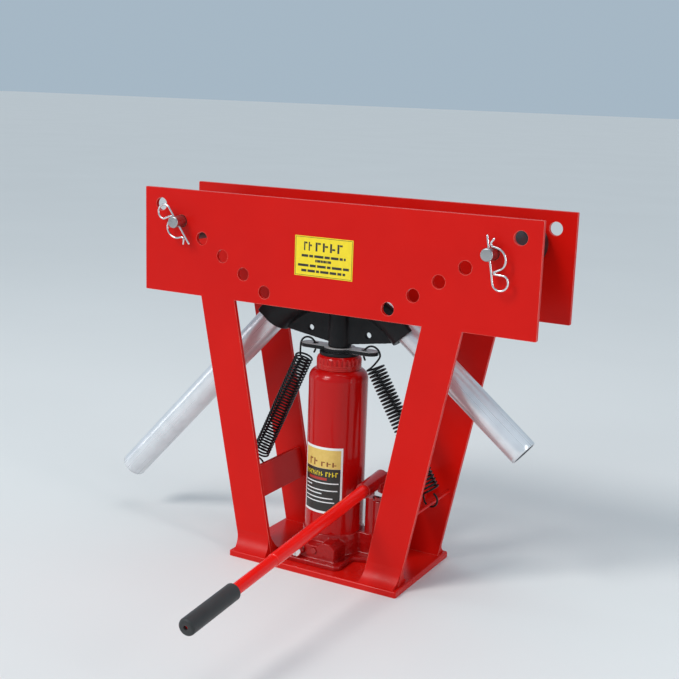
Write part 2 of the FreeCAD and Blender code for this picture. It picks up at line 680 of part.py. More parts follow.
def make_pump_gland():
    """Hexagonal gland nut screwed into the top of the pump barrel."""
    nut = hexagon(22.0, V(PUMP_X, PUMP_Y, PUMP_TOP), 5.5)
    thread = cylinder(8.0, V(PUMP_X, PUMP_Y, PUMP_TOP - 7.0), V(PUMP_X, PUMP_Y, PUMP_TOP))
    bore = cylinder(PLUNGER_R + RUN_CLEARANCE, V(PUMP_X, PUMP_Y, 90.0), V(PUMP_X, PUMP_Y, 112.0))
    return nut.fuse(thread).removeSplitter().cut(bore)


def make_plunger():
    """Pump plunger with a flat eye; the eye's hole is a short slot because the pin swings on an arc."""
    rod = cylinder(PLUNGER_R, V(PUMP_X, PUMP_Y, 60.0), V(PUMP_X, PUMP_Y, PLUNGER_PIN_Z - 4.0))
    eye = Part.makeBox(16.0, 19.0, 16.0, V(PUMP_X - 8.0, PUMP_Y - 9.5, PLUNGER_PIN_Z - 8.2))
    sag = LEVER_ARM * (1 - math.cos(math.radians(LEVER_START)))
    slot_r = LEVER_PIN_R + 0.35
    slot_from = V(PUMP_X - 9, PUMP_Y, PLUNGER_PIN_Z)
    slot_to = V(PUMP_X - 9, PUMP_Y - sag, PLUNGER_PIN_Z)
    slot = fuse_all([
        cylinder(slot_r, slot_from, slot_from + X_AXIS * 18),
        cylinder(slot_r, slot_to, slot_to + X_AXIS * 18),
        Part.makeBox(18.0, sag, 2 * slot_r, slot_to - Z_AXIS * slot_r),
    ])
    return fuse_all([rod, eye]).cut(slot)


def make_handle_socket():
    """Lever: a short tube for the handle with a cheek plate welded on each side."""
    mouth = handle_point(SOCKET_MOUTH_Y)
    rear = handle_point(SOCKET_REAR_Y)
    tube = cylinder(SOCKET_R, mouth, rear)
    outline = [
        (-24.0, 128.0), (-24.0, 139.0), (30.0, 141.0), (41.0, 137.0), (44.0, 129.6),
        (41.0, 122.0), (34.0, 119.5), (12.0, 111.5), (5.0, 111.5), (-3.0, 116.0),
    ]
    cheeks = [
        prism_x(outline, PUMP_X + CHEEK_IN, PUMP_X + CHEEK_IN + CHEEK_T),
        prism_x(outline, PUMP_X - CHEEK_IN - CHEEK_T, PUMP_X - CHEEK_IN),
    ]
    body = fuse_all([tube] + cheeks)
    body = body.cut(cylinder(SOCKET_BORE_R, mouth, handle_point(SOCKET_REAR_Y - 5.0)))
    for y, z in ((PUMP_Y, PLUNGER_PIN_Z), (FULCRUM_Y, FULCRUM_Z)):
        body = body.cut(cylinder(LEVER_PIN_R, V(PUMP_X - 20, y, z), V(PUMP_X + 20, y, z)))
    return body


def make_links():
    """Pair of fulcrum link plates beside the pump lug."""
    links = []
    for side in (-1, 1):
        x_from = PUMP_X + LINK_IN if side > 0 else PUMP_X - LINK_IN - LINK_T
        strip = Part.makeBox(LINK_T, 17.0, FULCRUM_Z - LINK_PIN_Z, V(x_from, FULCRUM_Y - 8.5, LINK_PIN_Z))
        pieces = [strip]
        for z in (LINK_PIN_Z, FULCRUM_Z):
            pieces.append(cylinder(8.5, V(x_from, FULCRUM_Y, z), V(x_from + LINK_T, FULCRUM_Y, z)))
        link = fuse_all(pieces)
        for z, radius in ((LINK_PIN_Z, LEVER_PIN_R), (FULCRUM_Z, LEVER_PIN_R + RUN_CLEARANCE)):
            start = V(x_from - 1, FULCRUM_Y, z)
            link = link.cut(cylinder(radius, start, start + X_AXIS * (LINK_T + 2)))
        links.append(link)
    return Part.makeCompound(links)


def make_cross_pin(y, z, half_length, head_r):
    """Headed pin along X with a groove for a snap ring."""
    pin = cylinder(LEVER_PIN_R, V(PUMP_X - half_length, y, z), V(PUMP_X + half_length + 5.0, y, z))
    head = cylinder(head_r, V(PUMP_X - half_length - 2.5, y, z), V(PUMP_X - half_length, y, z))
    start = V(PUMP_X + half_length + 0.5, y, z)
    groove = ring(LEVER_PIN_R, LEVER_PIN_R - 0.8, start, start + X_AXIS * 1.2)
    return pin.fuse(head).removeSplitter().cut(groove)


def make_snap_ring(y, z, half_length):
    """Open snap ring in a cross pin's groove."""
    start = V(PUMP_X + half_length + 0.5, y, z)
    full = ring(LEVER_PIN_R + 3.0, LEVER_PIN_R - 0.8, start, start + X_AXIS * 1.2)
    return full.cut(Part.makeBox(3.0, 5.0, 9.0, start + V(-1.0, -2.5, 0.5)))


def make_handle():
    """Two bars, one telescoped and pinned into the other, and the rubber grip."""
    rear = cylinder(BAR_R, handle_point(BAR_REAR_Y), handle_point(BAR_JOINT_Y))
    front = cylinder(BAR_R - 1.0, handle_point(BAR_JOINT_Y), handle_point(HANDLE_END_Y + 4.0))
    front = front.fuse(cylinder(BAR_R - 3.0, handle_point(BAR_JOINT_Y + 30.0), handle_point(BAR_JOINT_Y)))
    rear = rear.cut(cylinder(BAR_R - 3.0, handle_point(BAR_JOINT_Y + 30.0), handle_point(BAR_JOINT_Y)))
    grip_start = handle_point(HANDLE_END_Y + GRIP_LENGTH)
    grip = cylinder(GRIP_R, grip_start, handle_point(HANDLE_END_Y))
    grip = grip.makeFillet(3.5, [e for e in grip.Edges if e.Closed and e.CenterOfMass.y < HANDLE_END_Y + 5.0])
    grip = grip.cut(cylinder(BAR_R - 1.0, grip_start, handle_point(HANDLE_END_Y + 4.0)))
    grip = grip.cut(cylinder(3.0, handle_point(HANDLE_END_Y + 5.0), handle_point(HANDLE_END_Y - 1.0)))
    return rear, front.removeSplitter(), grip


# ---- valves and small jack parts ----
def make_release_valve():
    """Release screw with a cross-slotted head."""
    stem = cylinder(VALVE_R, V(VALVE_X, -72.0, VALVE_Z), V(VALVE_X, -46.0, VALVE_Z))
    head = cylinder(VALVE_R + 2.5, V(VALVE_X, -80.0, VALVE_Z), V(VALVE_X, -70.3, VALVE_Z))
    head = head.makeChamfer(1.0, [e for e in head.Edges if e.Closed and e.CenterOfMass.y < -79.0])
    valve = stem.fuse(head).removeSplitter()
    slot = Part.makeBox(2.4, 4.0, 20.0, V(VALVE_X - 1.2, -80.5, VALVE_Z - 10.0))
    return valve.cut(slot)


def make_jack_label():
    """Thin wrapped label on the front of the reservoir."""
    label = ring(RESERVOIR_R + LABEL_T, RESERVOIR_R, jack_point(JACK_LABEL_Z[0]), jack_point(JACK_LABEL_Z[1]))
    start, end = [math.radians(angle) for angle in JACK_LABEL_ANGLES]
    middle = (start + end) / 2.0
    far = 90.0
    wedge = [jack_point(0)]
    for angle in (start, middle, end):
        wedge.append(jack_point(0, far * math.sin(angle), -far * math.cos(angle)))
    sector = Part.Face(Part.makePolygon(wedge + wedge[:1])).extrude(Z_AXIS * SHOULDER_Z)
    return label.common(sector)


def make_jack_small_parts():
    """Seals, plugs and check balls of the jack, by node name."""
    seat = jack_point(JACK_BASE_TOP)
    bottom_seal = ring(RESERVOIR_R - 1.5, RESERVOIR_R - 5, seat - Z_AXIS * 2, seat)
    balls = [
        Part.makeSphere(3.2, V(PUMP_X, PUMP_Y, 29.3)),
        Part.makeSphere(3.2, V(PUMP_X, PUMP_Y, 46.0)),
    ]
    shell = cylinder(RESERVOIR_R, jack_point(JACK_BASE_TOP), jack_point(SHOULDER_Z))
    plug = plug_cylinder(PLUG_R, -4.0, 1.0).fuse(plug_cylinder(PLUG_HEAD_R, -0.2, 2.5))
    plug = plug.cut(shell.cut(plug_cylinder(PLUG_R, -10.0, 10.0)))
    guide_r = RAM_R + RUN_CLEARANCE
    cup_foot = RAM_FOOT - PISTON_T
    return {
        "reservoir_gasket": bottom_seal,
        "ram_packing": ring(PACKING_R, guide_r, jack_point(PACKING_FOOT), jack_point(PACKING_TOP)),
        "ram_wiper": ring(WIPER_R, guide_r, jack_point(WIPER_Z), jack_point(NUT_TOP)),
        "pressure_cylinder": ring(
            CYLINDER_OR, CYLINDER_IR, jack_point(CYLINDER_FOOT), jack_point(CYLINDER_TOP)),
        "ram": cylinder(RAM_R, jack_point(RAM_FOOT), jack_point(NUT_TOP + STACK_GAP)),
        "piston": cylinder(PISTON_R, jack_point(cup_foot), jack_point(RAM_FOOT)),
        "piston_cup": ring(CYLINDER_IR - RUN_CLEARANCE, 8.0, jack_point(46.0), jack_point(cup_foot)),
        "piston_cup_screw": cylinder(8.0, jack_point(44.0), jack_point(cup_foot)),
        "check_balls": Part.makeCompound(balls),
        "filler_plug": plug,
        "overload_valve": cylinder(4.5, V(-8.0, -68.0, PASSAGE_Z), V(-8.0, -56.0, PASSAGE_Z)),
        "pump_passage_plug": cylinder(5.0, V(PUMP_X, PUMP_Y - 20.0, 27.0), V(PUMP_X, PUMP_Y - 8.0, 27.0)),
        "pump_packing": ring(
            8.0, PLUNGER_R + RUN_CLEARANCE, V(PUMP_X, PUMP_Y, 92.0), V(PUMP_X, PUMP_Y, 97.0)),
    }


def build():
    """Make every node and write its file."""
    nodes = {
        "base_plate": make_base_plate(),
        "front_side_plate": make_side_plate(-FRAME_OUT),
        "rear_side_plate": make_side_plate(FRAME_IN),
        "foot_welds": make_foot_welds(),
        "beam_label": make_beam_label(),
        "jack_base": make_jack_base(),
        "reservoir": make_reservoir(),
        "top_nut": make_top_nut(),
        "jack_label": make_jack_label(),
        "saddle": make_saddle(),
        "ear_plate": make_ear_plate(),
        "bending_die": make_die(),
        "bent_tube": make_bent_tube(),
        "pump_cylinder": make_pump_cylinder(),
        "pump_gland": make_pump_gland(),
        "plunger": make_plunger(),
        "handle_socket": make_handle_socket(),
        "fulcrum_links": make_links(),
        "fulcrum_pin": make_cross_pin(FULCRUM_Y, FULCRUM_Z, 17.2, 6.5),
        "plunger_pin": make_cross_pin(PUMP_Y, PLUNGER_PIN_Z, 12.8, 6.5),
        "link_pin": make_cross_pin(FULCRUM_Y, LINK_PIN_Z, 17.2, 6.5),
        "fulcrum_pin_ring": make_snap_ring(FULCRUM_Y, FULCRUM_Z, 17.2),
        "plunger_pin_ring": make_snap_ring(PUMP_Y, PLUNGER_PIN_Z, 12.8),
        "link_pin_ring": make_snap_ring(FULCRUM_Y, LINK_PIN_Z, 17.2),
        "release_valve": make_release_valve(),
    }
    for name, side in SIDES:
        nodes[name + "_cross_plate"] = make_cross_plate(side)
        nodes[name + "_spring_rod"] = make_spring_rod(side)
        nodes[name + "_roller_pin"] = make_roller_pin(side)
        nodes[name + "_pin_clip"] = make_pin_clip(side)
        nodes[name + "_roller"] = make_roller(side)
        nodes[name + "_return_spring"] = make_return_spring(side)
    nodes["handle_rear_bar"], nodes["handle_front_bar"], nodes["handle_grip"] = make_handle()
    nodes.update(make_jack_small_parts())
    os.makedirs("parts", exist_ok=True)
    for node in sorted(nodes):
        save(nodes[node], node)


build()
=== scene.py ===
import json
import math

import bmesh
import bpy
from mathutils import Matrix, Vector, noise

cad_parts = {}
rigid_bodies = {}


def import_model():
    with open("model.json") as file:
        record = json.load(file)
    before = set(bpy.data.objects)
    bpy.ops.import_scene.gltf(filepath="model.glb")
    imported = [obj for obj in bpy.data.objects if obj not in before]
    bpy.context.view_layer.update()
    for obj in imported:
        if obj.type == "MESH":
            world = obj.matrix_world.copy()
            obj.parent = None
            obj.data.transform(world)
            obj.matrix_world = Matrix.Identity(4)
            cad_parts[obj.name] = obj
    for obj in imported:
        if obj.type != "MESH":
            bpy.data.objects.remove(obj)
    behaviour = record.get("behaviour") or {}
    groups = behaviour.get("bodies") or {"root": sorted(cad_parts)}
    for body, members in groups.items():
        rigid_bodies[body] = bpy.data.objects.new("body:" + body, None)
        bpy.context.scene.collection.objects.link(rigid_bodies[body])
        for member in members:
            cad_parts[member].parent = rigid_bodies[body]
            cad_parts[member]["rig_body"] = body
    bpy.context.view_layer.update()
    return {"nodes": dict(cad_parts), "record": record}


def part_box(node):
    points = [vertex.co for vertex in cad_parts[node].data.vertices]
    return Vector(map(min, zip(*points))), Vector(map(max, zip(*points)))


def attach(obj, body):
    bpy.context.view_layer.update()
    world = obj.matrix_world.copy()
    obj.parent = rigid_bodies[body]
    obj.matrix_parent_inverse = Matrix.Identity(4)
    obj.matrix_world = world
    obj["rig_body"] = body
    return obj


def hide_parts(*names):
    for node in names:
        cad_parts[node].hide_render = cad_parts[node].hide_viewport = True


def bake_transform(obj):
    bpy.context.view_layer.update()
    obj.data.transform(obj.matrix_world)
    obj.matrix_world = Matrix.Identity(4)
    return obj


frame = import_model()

# Hydraulic pipe bender: the visible surfaces, materials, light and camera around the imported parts.
# Metres, in the row frame: X along the beam, Y from the operator to the back, Z up.

SCENE = bpy.context.scene
Y_AXIS = Vector((0, 1, 0))
Z_AXIS = Vector((0, 0, 1))
MM = 0.001
SIDES = (("left", -1), ("right", 1))


# ---- places read from the frame ----
def box_centre(node):
    low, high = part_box(node)
    return (low + high) / 2


def box_size(node):
    low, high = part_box(node)
    return high - low


JACK = Vector((box_centre("reservoir").x, box_centre("reservoir").y, 0))
RESERVOIR_R = box_size("reservoir").x / 2


# ---- camera, light and floor ----
LENS_MM = 61.54
SENSOR_MM = 36.0
CAMERA_PLACE = (0.8078, -1.49199, 0.71441)
CAMERA_DEGREES = (28.79, 12.28, 1.93)
SKY_COLOUR = (0.68, 0.85, 1.0, 1)
SKY_STRENGTH = 0.56
SUN_FROM = (-0.55, -1.0, 1.15)
SUN_STRENGTH = 1.15
SUN_SOFTNESS = 16.0
PART_MIDDLE = (0, 0, 0.25)
# Name, place, point it looks at, size in metres and power in watts of each soft light.
SOFTBOXES = (
    ("key", (-1.3, -2.6, 1.9), PART_MIDDLE, (1.2, 1.0), 22),
    ("top", (0.2, 0.1, 2.8), PART_MIDDLE, (1.6, 1.2), 10),
    ("right_strip", (2.4, -0.6, 1.0), PART_MIDDLE, (0.35, 1.4), 12),
    ("left_strip", (-2.3, -0.7, 0.9), (0, 0, 0.2), (0.3, 1.4), 4),
)
FLOOR_HALF = 40.0


def add_camera():
    """Camera to the right of the part and above it, where the photo's own camera was solved."""
    data = bpy.data.cameras.new("camera")
    data.lens = LENS_MM
    data.sensor_width = SENSOR_MM
    camera = bpy.data.objects.new("camera", data)
    SCENE.collection.objects.link(camera)
    yaw, pitch, roll = [math.radians(angle) for angle in CAMERA_DEGREES]
    turn = Matrix.Rotation(yaw, 4, "Z") @ Matrix.Rotation(math.pi / 2 - pitch, 4, "X")
    turn = turn @ Matrix.Rotation(roll, 4, "Z")
    camera.matrix_world = Matrix.Translation(Vector(CAMERA_PLACE)) @ turn
    SCENE.camera = camera


def add_softbox(name, place, target, size, power):
    """Rectangular white studio light that looks at a point."""
    data = bpy.data.lights.new(name, "AREA")
    data.shape = "RECTANGLE"
    data.size, data.size_y = size
    data.energy = power
    light = bpy.data.objects.new(name, data)
    SCENE.collection.objects.link(light)
    direction = Vector(target) - Vector(place)
    turn = direction.to_track_quat("-Z", "Y").to_matrix().to_4x4()
    light.matrix_world = Matrix.Translation(Vector(place)) @ turn


def add_sun(place, strength, softness):
    """Even distant light from a direction, with soft shadows."""
    data = bpy.data.lights.new("sun", "SUN")
    data.energy = strength
    data.angle = math.radians(softness)
    light = bpy.data.objects.new("sun", data)
    SCENE.collection.objects.link(light)
    light.matrix_world = Vector(place).to_track_quat("Z", "Y").to_matrix().to_4x4()


def add_studio():
    """Pale floor, a soft sun, four soft lights and an even blue-white surround."""
    world = bpy.data.worlds.new("surround")
    world.use_nodes = True
    background = world.node_tree.nodes["Background"]
    background.inputs["Color"].default_value = SKY_COLOUR
    background.inputs["Strength"].default_value = SKY_STRENGTH
    SCENE.world = world
    SCENE.view_settings.view_transform = "Standard"
    add_sun(SUN_FROM, SUN_STRENGTH, SUN_SOFTNESS)
    for softbox in SOFTBOXES:
        add_softbox(*softbox)
    mesh = bpy.data.meshes.new("floor")
    signs = ((-1, -1), (1, -1), (1, 1), (-1, 1))
    mesh.from_pydata([(x * FLOOR_HALF, y * FLOOR_HALF, 0) for x, y in signs], [], [(0, 1, 2, 3)])
    floor = bpy.data.objects.new("floor", mesh)
    SCENE.collection.objects.link(floor)
    mesh.materials.append(floor_material())


# ---- material building ----
def start_material(name):
    material = bpy.data.materials.new(name)
    material.use_nodes = True
    return material, material.node_tree, material.node_tree.nodes["Principled BSDF"]


def add_node(tree, kind, inputs=None, **settings):
    """A shader node with its settings and plain input values."""
    node = tree.nodes.new(kind)
    for key, value in settings.items():
        setattr(node, key, value)
    for key, value in (inputs or {}).items():
        node.inputs[key].default_value = value
    return node


def link(tree, source, target):
    tree.links.new(source, target)


def noise_field(tree, scale, detail=4.0, stretch=(1, 1, 1), attribute=None):
    """Noise over the object's own coordinates, or over a vector that its mesh stores, 0 to 1."""
    if attribute:
        source = add_node(tree, "ShaderNodeAttribute", attribute_name=attribute).outputs["Vector"]
    else:
        source = add_node(tree, "ShaderNodeTexCoord").outputs["Object"]
    mapping = add_node(tree, "ShaderNodeMapping")
    mapping.inputs["Scale"].default_value = stretch
    field = add_node(tree, "ShaderNodeTexNoise", {"Scale": scale, "Detail": detail, "Roughness": 0.55})
    link(tree, source, mapping.inputs["Vector"])
    link(tree, mapping.outputs["Vector"], field.inputs["Vector"])
    return field.outputs["Fac"]


def remap(tree, value, low, high, to_low, to_high):
    """Scale a 0-1 field's middle range to two values."""
    limits = {"From Min": low, "From Max": high, "To Min": to_low, "To Max": to_high}
    node = add_node(tree, "ShaderNodeMapRange", limits)
    link(tree, value, node.inputs["Value"])
    return node.outputs["Result"]


def mix_colours(tree, amount, first, second):
    """Mix two colours, each a plain colour or a socket, by a field."""
    node = add_node(tree, "ShaderNodeMix", data_type="RGBA")
    link(tree, amount, node.inputs["Factor"])
    for value, socket in ((first, node.inputs[6]), (second, node.inputs[7])):
        if isinstance(value, tuple):
            socket.default_value = value + (1.0,)
        else:
            link(tree, value, socket)
    return node.outputs[2]


def edge_field(tree, radius):
    """1 on convex and concave edges within a radius, 0 on flats."""
    bevel = add_node(tree, "ShaderNodeBevel", {"Radius": radius}, samples=4)
    normal = add_node(tree, "ShaderNodeNewGeometry").outputs["Normal"]
    dot = add_node(tree, "ShaderNodeVectorMath", operation="DOT_PRODUCT")
    link(tree, bevel.outputs["Normal"], dot.inputs[0])
    link(tree, normal, dot.inputs[1])
    return remap(tree, dot.outputs["Value"], 0.99, 0.80, 0.0, 1.0)


def add_bumps(tree, shader, layers):
    """Chain bump layers, each (height field, strength, distance), into a shader's normal."""
    previous = None
    for height, strength, distance in layers:
        bump = add_node(tree, "ShaderNodeBump", {"Strength": strength, "Distance": distance})
        link(tree, height, bump.inputs["Height"])
        if previous is not None:
            link(tree, previous, bump.inputs["Normal"])
        previous = bump.outputs["Normal"]
    link(tree, previous, shader.inputs["Normal"])


def floor_material():
    material, tree, shader = start_material("floor_pale")
    colour = mix_colours(tree, noise_field(tree, 1.3), (0.74, 0.725, 0.70), (0.79, 0.775, 0.75))
    link(tree, colour, shader.inputs["Base Color"])
    shader.inputs["Roughness"].default_value = 0.75
    return material


def paint_material(name, base, shade, edge, roughness, peel, gloss, coat):
    """Enamel: slow colour drift, thin pale edges as painted highlight, orange peel and faint handling
    marks.
    """
    material, tree, shader = start_material(name)
    drift = remap(tree, noise_field(tree, 7.0, 3.0), 0.35, 0.70, 0.0, 1.0)
    colour = mix_colours(tree, drift, base, shade)
    # Painted highlight: the edge colour is mixed in along rounded edges, broken up by noise.
    edge_highlight = add_node(tree, "ShaderNodeMath", operation="MULTIPLY")
    link(tree, edge_field(tree, 1.2 * MM), edge_highlight.inputs[0])
    link(tree, remap(tree, noise_field(tree, 60.0), 0.38, 0.62, 0.45, 0.95), edge_highlight.inputs[1])
    colour = mix_colours(tree, edge_highlight.outputs["Value"], colour, edge)
    link(tree, colour, shader.inputs["Base Color"])
    marks = noise_field(tree, 18.0, 8.0)
    link(tree, remap(tree, marks, 0.35, 0.70, roughness[0], roughness[1]), shader.inputs["Roughness"])
    shader.inputs["Specular IOR Level"].default_value = gloss
    shader.inputs["Coat Weight"].default_value = coat
    shader.inputs["Coat Roughness"].default_value = 0.05
    fine, coarse = noise_field(tree, 520.0, 2.0), noise_field(tree, 60.0, 2.0)
    layers = [(fine, peel, 0.05 * MM), (coarse, peel, 0.10 * MM)]
    add_bumps(tree, shader, layers)
    return material


def casting_material(name, base, shade, roughness, grain, coat=0.0, metallic=0.0, gloss=0.2, highlight_gain=1.7):
    """Painted or blackened casting with sand grain, soft tone patches and a painted highlight on its
    edges.
    """
    material, tree, shader = start_material(name)
    patches = remap(tree, noise_field(tree, 28.0, 6.0), 0.35, 0.68, 0.0, 1.0)
    colour = mix_colours(tree, patches, base, shade)
    # Painted highlight: edges lighten to the base colour times a gain; a gain of 1 leaves them plain.
    edge_highlight = tuple(min(1.0, highlight_gain * value) for value in base)
    highlighted = mix_colours(tree, edge_field(tree, 1.6 * MM), colour, edge_highlight)
    link(tree, highlighted, shader.inputs["Base Color"])
    field = noise_field(tree, 90.0, 5.0)
    link(tree, remap(tree, field, 0.35, 0.68, roughness[0], roughness[1]), shader.inputs["Roughness"])
    shader.inputs["Metallic"].default_value = metallic
    shader.inputs["Specular IOR Level"].default_value = gloss
    shader.inputs["Coat Weight"].default_value = coat
    shader.inputs["Coat Roughness"].default_value = 0.12
    fine, coarse = noise_field(tree, 420.0, 4.0), noise_field(tree, 95.0, 4.0)
    layers = [(fine, grain, 0.25 * MM), (coarse, grain * 0.8, 0.6 * MM)]
    add_bumps(tree, shader, layers)
    return material


def metal_material(name, light, dark, roughness, stretch=(1, 1, 1), scale=160.0, attribute=None,
                   bump=0.06, metallic=1.0):
    """Bare or plated metal with cloudy plating and fine lines, drawn out where stretch says so."""
    material, tree, shader = start_material(name)
    clouds = remap(tree, noise_field(tree, 45.0, 5.0), 0.35, 0.68, 0.0, 1.0)
    colour = mix_colours(tree, clouds, light, dark)
    link(tree, colour, shader.inputs["Base Color"])
    lines = noise_field(tree, scale, 6.0, stretch, attribute)
    link(tree, remap(tree, lines, 0.30, 0.72, roughness[0], roughness[1]), shader.inputs["Roughness"])
    shader.inputs["Metallic"].default_value = metallic
    add_bumps(tree, shader, [(lines, bump, 0.12 * MM)])
    return material


def rubber_material(name, base, shade, roughness):
    """Matt rubber with a fine pebble and dusty patches."""
    material, tree, shader = start_material(name)
    patches = remap(tree, noise_field(tree, 55.0, 6.0), 0.40, 0.72, 0.0, 1.0)
    link(tree, mix_colours(tree, patches, base, shade), shader.inputs["Base Color"])
    link(tree, remap(tree, patches, 0, 1, roughness[0], roughness[1]), shader.inputs["Roughness"])
    shader.inputs["Sheen Weight"].default_value = 0.15
    pebble, waves = noise_field(tree, 900.0, 3.0), noise_field(tree, 160.0, 3.0)
    layers = [(pebble, 0.35, 0.12 * MM), (waves, 0.2, 0.3 * MM)]
    add_bumps(tree, shader, layers)
    return material


def ink_material(name, base, shade, roughness=0.35):
    """Printed film: even ink with faint mottling and a smooth laminate."""
    material, tree, shader = start_material(name)
    mottle = remap(tree, noise_field(tree, 140.0, 4.0), 0.35, 0.68, 0.0, 1.0)
    link(tree, mix_colours(tree, mottle, base, shade), shader.inputs["Base Color"])
    field = noise_field(tree, 70.0, 5.0)
    link(tree, remap(tree, field, 0.35, 0.68, roughness, roughness + 0.1), shader.inputs["Roughness"])
    add_bumps(tree, shader, [(noise_field(tree, 300.0, 2.0), 0.05, 0.05 * MM)])
    return material


# The third colour of each paint_material is a painted highlight along the edges.
MATERIALS = {
    "frame_red": paint_material(
        "frame_red", (0.640, 0.0060, 0.0026), (0.590, 0.0046, 0.0022), (0.90, 0.30, 0.24),
        (0.30, 0.40), 0.06, 0.16, 0.0),
    "base_red": paint_material(
        "base_red", (0.620, 0.0080, 0.0040), (0.570, 0.0060, 0.0035), (0.90, 0.34, 0.28),
        (0.20, 0.30), 0.06, 0.22, 0.0),
    "jack_red": paint_material(
        "jack_red", (0.500, 0.0030, 0.0025), (0.450, 0.0024, 0.0020), (0.80, 0.10, 0.08),
        (0.12, 0.20), 0.05, 0.22, 0.12),
    "handle_red": paint_material(
        "handle_red", (0.900, 0.0110, 0.0070), (0.840, 0.0090, 0.0060), (0.90, 0.25, 0.20),
        (0.18, 0.28), 0.06, 0.30, 0.10),
    "socket_red": paint_material(
        "socket_red", (0.380, 0.0035, 0.0035), (0.330, 0.0030, 0.0030), (0.70, 0.10, 0.08),
        (0.18, 0.28), 0.08, 0.40, 0.30),
    "cast_red": casting_material(
        "cast_red", (0.380, 0.0040, 0.0035), (0.300, 0.0030, 0.0026), (0.22, 0.36), 0.35, 0.30),
    "black_cast": casting_material(
        "black_cast", (0.007, 0.007, 0.008), (0.012, 0.012, 0.013), (0.30, 0.46), 0.30),
    "black_spring": casting_material(
        "black_spring", (0.006, 0.006, 0.007), (0.010, 0.010, 0.011), (0.22, 0.36), 0.10),
    "tube_steel": metal_material(
        "tube_steel", (0.80, 0.81, 0.83), (0.72, 0.73, 0.75), (0.26, 0.34), (1, 1, 0.012), 260.0,
        "flow", 0.02, 0.55),
    # Painted shade: a dark copy of the tube's steel for the inside of the bore.
    "tube_bore_shade": metal_material(
        "tube_bore_shade", (0.20, 0.20, 0.21), (0.12, 0.12, 0.13), (0.45, 0.60), metallic=0.5),
    "zinc": metal_material("zinc", (0.50, 0.50, 0.48), (0.38, 0.38, 0.36), (0.36, 0.52)),
    # Light zinc for the ear plate's top faces; its sides are painted dark as shade.
    "ear_zinc": casting_material(
        "ear_zinc", (0.80, 0.80, 0.78), (0.52, 0.52, 0.50), (0.40, 0.60), 0.30, 0.0, 0.3, 0.5),
    "bright_wire": metal_material("bright_wire", (0.82, 0.82, 0.82), (0.66, 0.66, 0.66), (0.14, 0.28)),
    "ground_steel": metal_material(
        "ground_steel", (0.66, 0.67, 0.69), (0.55, 0.56, 0.58), (0.12, 0.22)),
    "rubber": rubber_material("rubber", (0.013, 0.013, 0.013), (0.026, 0.026, 0.026), (0.55, 0.78)),
    "label_yellow": ink_material("label_yellow", (0.92, 0.70, 0.015), (0.86, 0.64, 0.012)),
    "label_gold": ink_material("label_gold", (0.78, 0.54, 0.14), (0.72, 0.48, 0.11)),
    "label_white": ink_material("label_white", (0.86, 0.86, 0.84), (0.80, 0.80, 0.78)),
    "label_black": ink_material("label_black", (0.020, 0.018, 0.014), (0.030, 0.027, 0.022)),
    "label_red": ink_material("label_red", (0.45, 0.035, 0.020), (0.40, 0.030, 0.018)),
    "weld_red": casting_material(
        "weld_red", (0.600, 0.0060, 0.0026), (0.560, 0.0046, 0.0022), (0.34, 0.44), 0.03, highlight_gain=1.0),
    "black_roller": casting_material(
        "black_roller", (0.011, 0.011, 0.012), (0.020, 0.020, 0.021), (0.30, 0.46), 0.18),
    "pin_steel": metal_material("pin_steel", (0.50, 0.50, 0.50), (0.38, 0.38, 0.38), (0.24, 0.38)),
    "label_brown": ink_material("label_brown", (0.24, 0.055, 0.012), (0.20, 0.045, 0.010)),
}


# ---- mesh building ----
def finish_mesh(mesh, sharp_angle=38.0):
    """Smooth shading with sharp edges above an angle."""
    mesh.shade_smooth()
    mesh.set_sharp_from_angle(angle=math.radians(sharp_angle))
    return mesh


def evaluated_mesh(obj, name):
    """The mesh that an object's modifiers or curve settings give."""
    depsgraph = bpy.context.evaluated_depsgraph_get()
    mesh = bpy.data.meshes.new_from_object(obj.evaluated_get(depsgraph))
    mesh.name = name
    return mesh


def with_modifiers(mesh, name, recipes):
    """Apply modifiers, each (kind, settings), to a mesh through a temporary object."""
    obj = bpy.data.objects.new("temporary", mesh)
    SCENE.collection.objects.link(obj)
    for kind, settings in recipes:
        modifier = obj.modifiers.new(kind.lower(), kind)
        for key, value in settings.items():
            setattr(modifier, key, value)
    bpy.context.view_layer.update()
    made = evaluated_mesh(obj, name)
    bpy.data.objects.remove(obj)
    return made


def bevel_recipe(width, segments=3, angle=32.0):
    """Modifier recipe that rounds the edges over an angle."""
    settings = {
        "width": width, "segments": segments, "limit_method": "ANGLE",
        "angle_limit": math.radians(angle), "use_clamp_overlap": True,
    }
    return ("BEVEL", settings)


WEIGHTED = ("WEIGHTED_NORMAL", {"keep_sharp": True, "weight": 80})
WELD_DISTANCE = 0.002 * MM
FLAT_ANGLE = math.radians(0.6)


def add_piece(name, mesh, body, material, replaced=()):
    """Put a mesh in the scene as a piece that rides on a body."""
    if not mesh.materials:
        mesh.materials.append(MATERIALS[material])
    obj = bpy.data.objects.new(name, mesh)
    SCENE.collection.objects.link(obj)
    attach(obj, body)
    if replaced:
        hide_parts(*replaced)
    return obj


def cad_copy(node):
    """A copy of a CAD node's mesh with its flat triangles joined into faces."""
    mesh = frame["nodes"][node].data.copy()
    shape = bmesh.new()
    shape.from_mesh(mesh)
    bmesh.ops.remove_doubles(shape, verts=shape.verts, dist=WELD_DISTANCE)
    bmesh.ops.dissolve_limit(shape, angle_limit=FLAT_ANGLE, verts=shape.verts, edges=shape.edges)
    shape.to_mesh(mesh)
    shape.free()
    mesh.materials.clear()
    return mesh


def body_of(node):
    """Name of the CAD body that a node belongs to."""
    return frame["nodes"][node]["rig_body"]


def soften(node, material, width):
    """Replace a CAD node with the same shape, its edges rounded."""
    mesh = with_modifiers(cad_copy(node), node + "_finished", [bevel_recipe(width), WEIGHTED])
    return add_piece(node + "_finished", mesh, body_of(node), material, [node])


def soften_all(rows):
    """Soften each node of a list of (node, slot, material, edge width in millimetres)."""
    for node, slot, material, width in rows:
        soften(node, material, width * MM)


